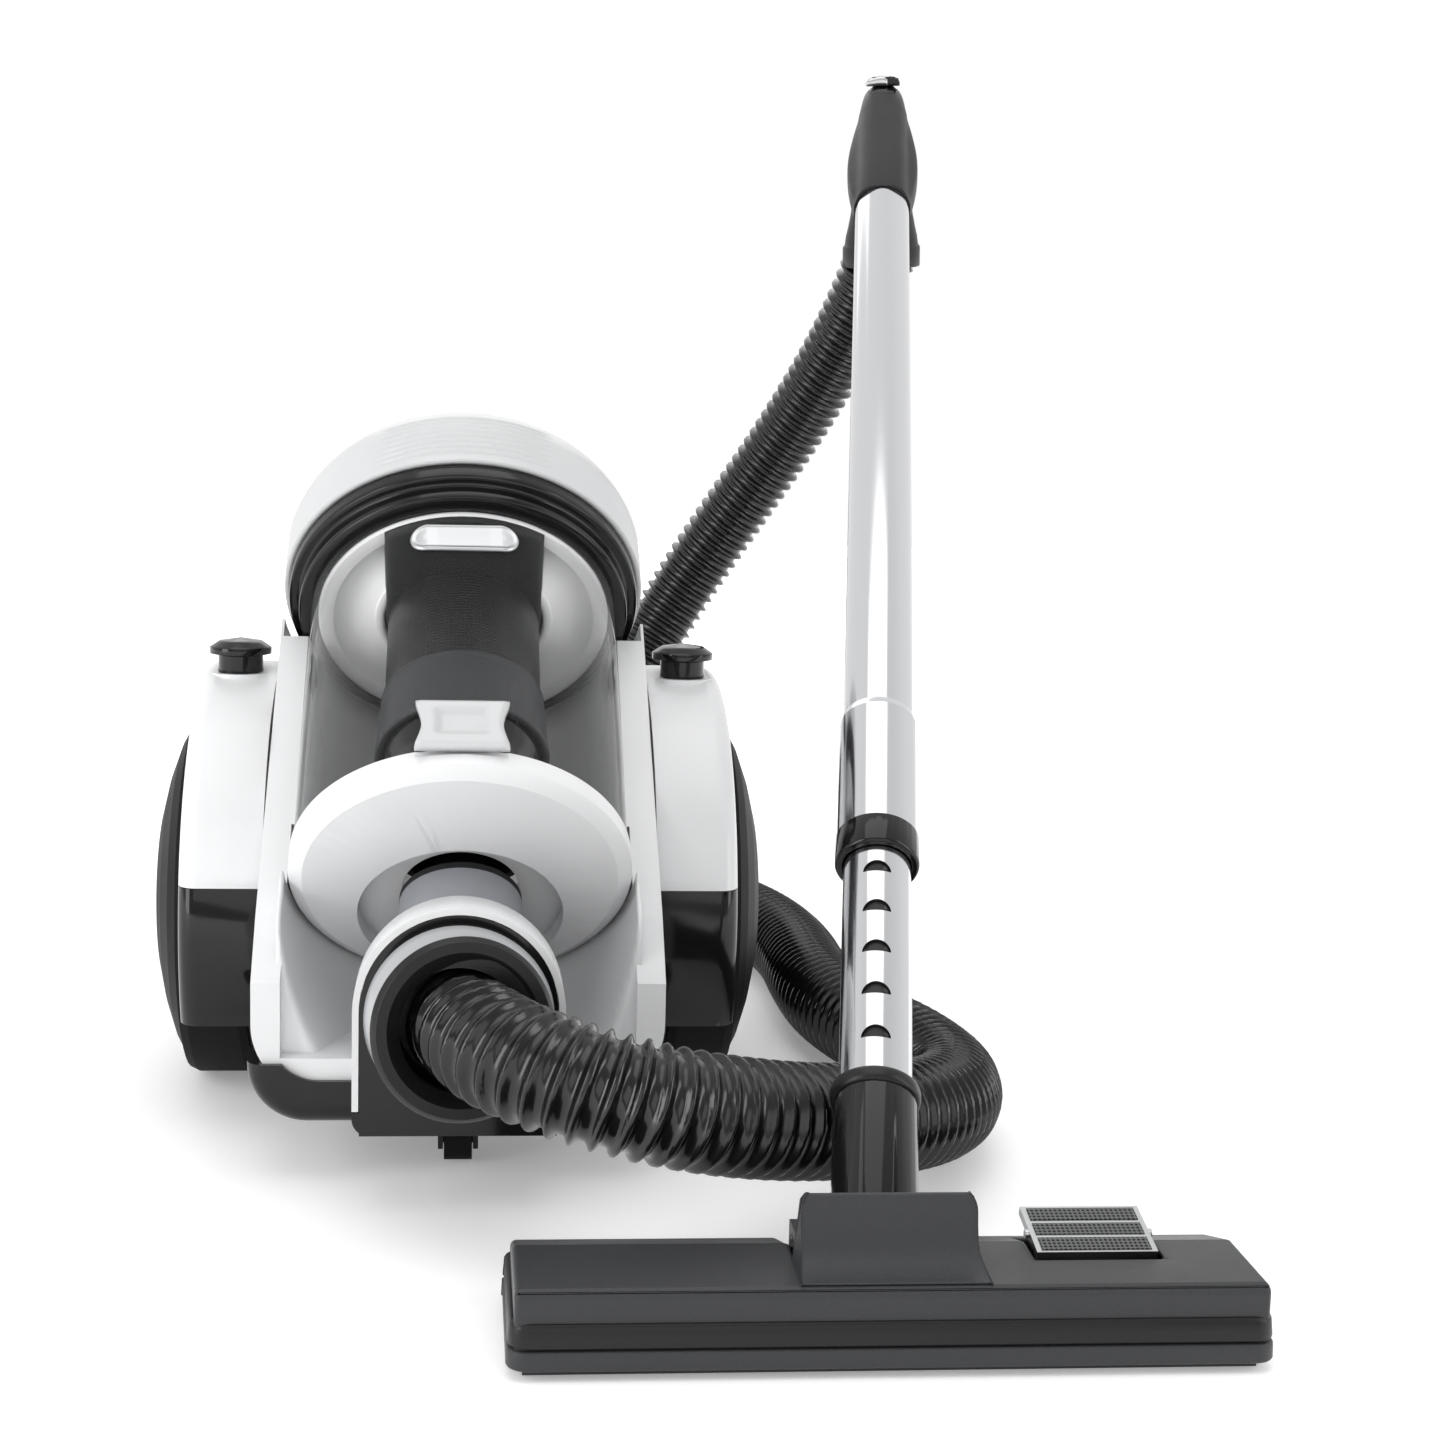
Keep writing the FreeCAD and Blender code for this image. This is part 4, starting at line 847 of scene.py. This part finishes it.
def stage():
    """The floor, the surroundings and five soft lamps."""
    floor = new_object("floor", [(-6, -4, 0), (6, -4, 0), (6, 6, 0), (-6, 6, 0)], [(0, 1, 2, 3)])
    floor.location.z = -0.0005
    floor.data.materials.append(floor_painted_glow())
    studio()
    for name, place, target, width, height, power in (
            ("left_box", (-1.5, -0.9, 0.75), (-0.05, -0.05, 0.2), 0.7, 1.5, 15),
            ("right_box", (1.6, -0.8, 0.8), (0.05, -0.05, 0.2), 0.6, 1.5, 9),
            ("back_box", (0.1, 1.7, 1.5), (0, 0, 0.2), 1.6, 1.2, 5),
            ("front_box", (-0.2, -2.2, 0.9), (0, -0.1, 0.15), 2.0, 1.2, 8),
            ("top_box", (-0.1, -0.3, 2.0), (-0.05, -0.05, 0), 1.5, 1.5, 9)):
        data = bpy.data.lights.new(name, "AREA")
        data.energy = power
        data.shape = "RECTANGLE"
        data.size = width
        data.size_y = height
        lamp = bpy.data.objects.new(name, data)
        lamp.location = place
        lamp.rotation_euler = (Vector(target) - Vector(place)).to_track_quat("-Z", "Y").to_euler()
        bpy.context.scene.collection.objects.link(lamp)


def studio():
    """White surroundings behind and above, greyer in front."""
    world = bpy.data.worlds.new("studio")
    world.use_nodes = True
    nodes, links = world.node_tree.nodes, world.node_tree.links
    back = nodes["Background"]
    coords = nodes.new("ShaderNodeTexCoord")
    parts = nodes.new("ShaderNodeSeparateXYZ")
    spread = nodes.new("ShaderNodeMapRange")
    spread.inputs["From Min"].default_value = -0.9
    spread.inputs["From Max"].default_value = 0.4
    spread.inputs["To Min"].default_value = 0.42
    spread.inputs["To Max"].default_value = 1.0
    links.new(coords.outputs["Generated"], parts.inputs["Vector"])
    links.new(parts.outputs["Y"], spread.inputs["Value"])
    links.new(spread.outputs["Result"], back.inputs["Strength"])
    back.inputs["Color"].default_value = (1, 1, 1, 1)
    bpy.context.scene.world = world
    view = bpy.context.scene.view_settings
    view.view_transform = "Standard"
    view.exposure = 0.0


def camera():
    """The photo's view, in degrees and metres."""
    yaw, pitch, roll = (math.radians(a) for a in (4.4, 7.4, 1.2))
    forward = Vector((math.sin(yaw) * math.cos(pitch), math.cos(yaw) * math.cos(pitch),
                      -math.sin(pitch)))
    right = Vector((math.cos(yaw), -math.sin(yaw), 0))
    up = right.cross(forward)
    turned_right = right * math.cos(roll) + up * math.sin(roll)
    turned_up = up * math.cos(roll) - right * math.sin(roll)
    data = bpy.data.cameras.new("camera")
    data.sensor_width = 36
    data.lens = 52.3
    data.shift_x = 0.069
    obj = bpy.data.objects.new("camera", data)
    pose = Matrix((turned_right, turned_up, -forward)).transposed().to_4x4()
    pose.translation = Vector((-0.070, -1.030, 0.305))
    obj.matrix_world = pose
    bpy.context.scene.collection.objects.link(obj)
    bpy.context.scene.camera = obj


stage()
camera()
finish_nodes()
hose()
cowl()
ring()
badge()
latch()
cyclone_skirt()
separator()
column_head()
cradle()
apron()
grip()
wand_rings()
cuff()
bleed_slot()
slider()
saddle()
belts()
pedal_face()
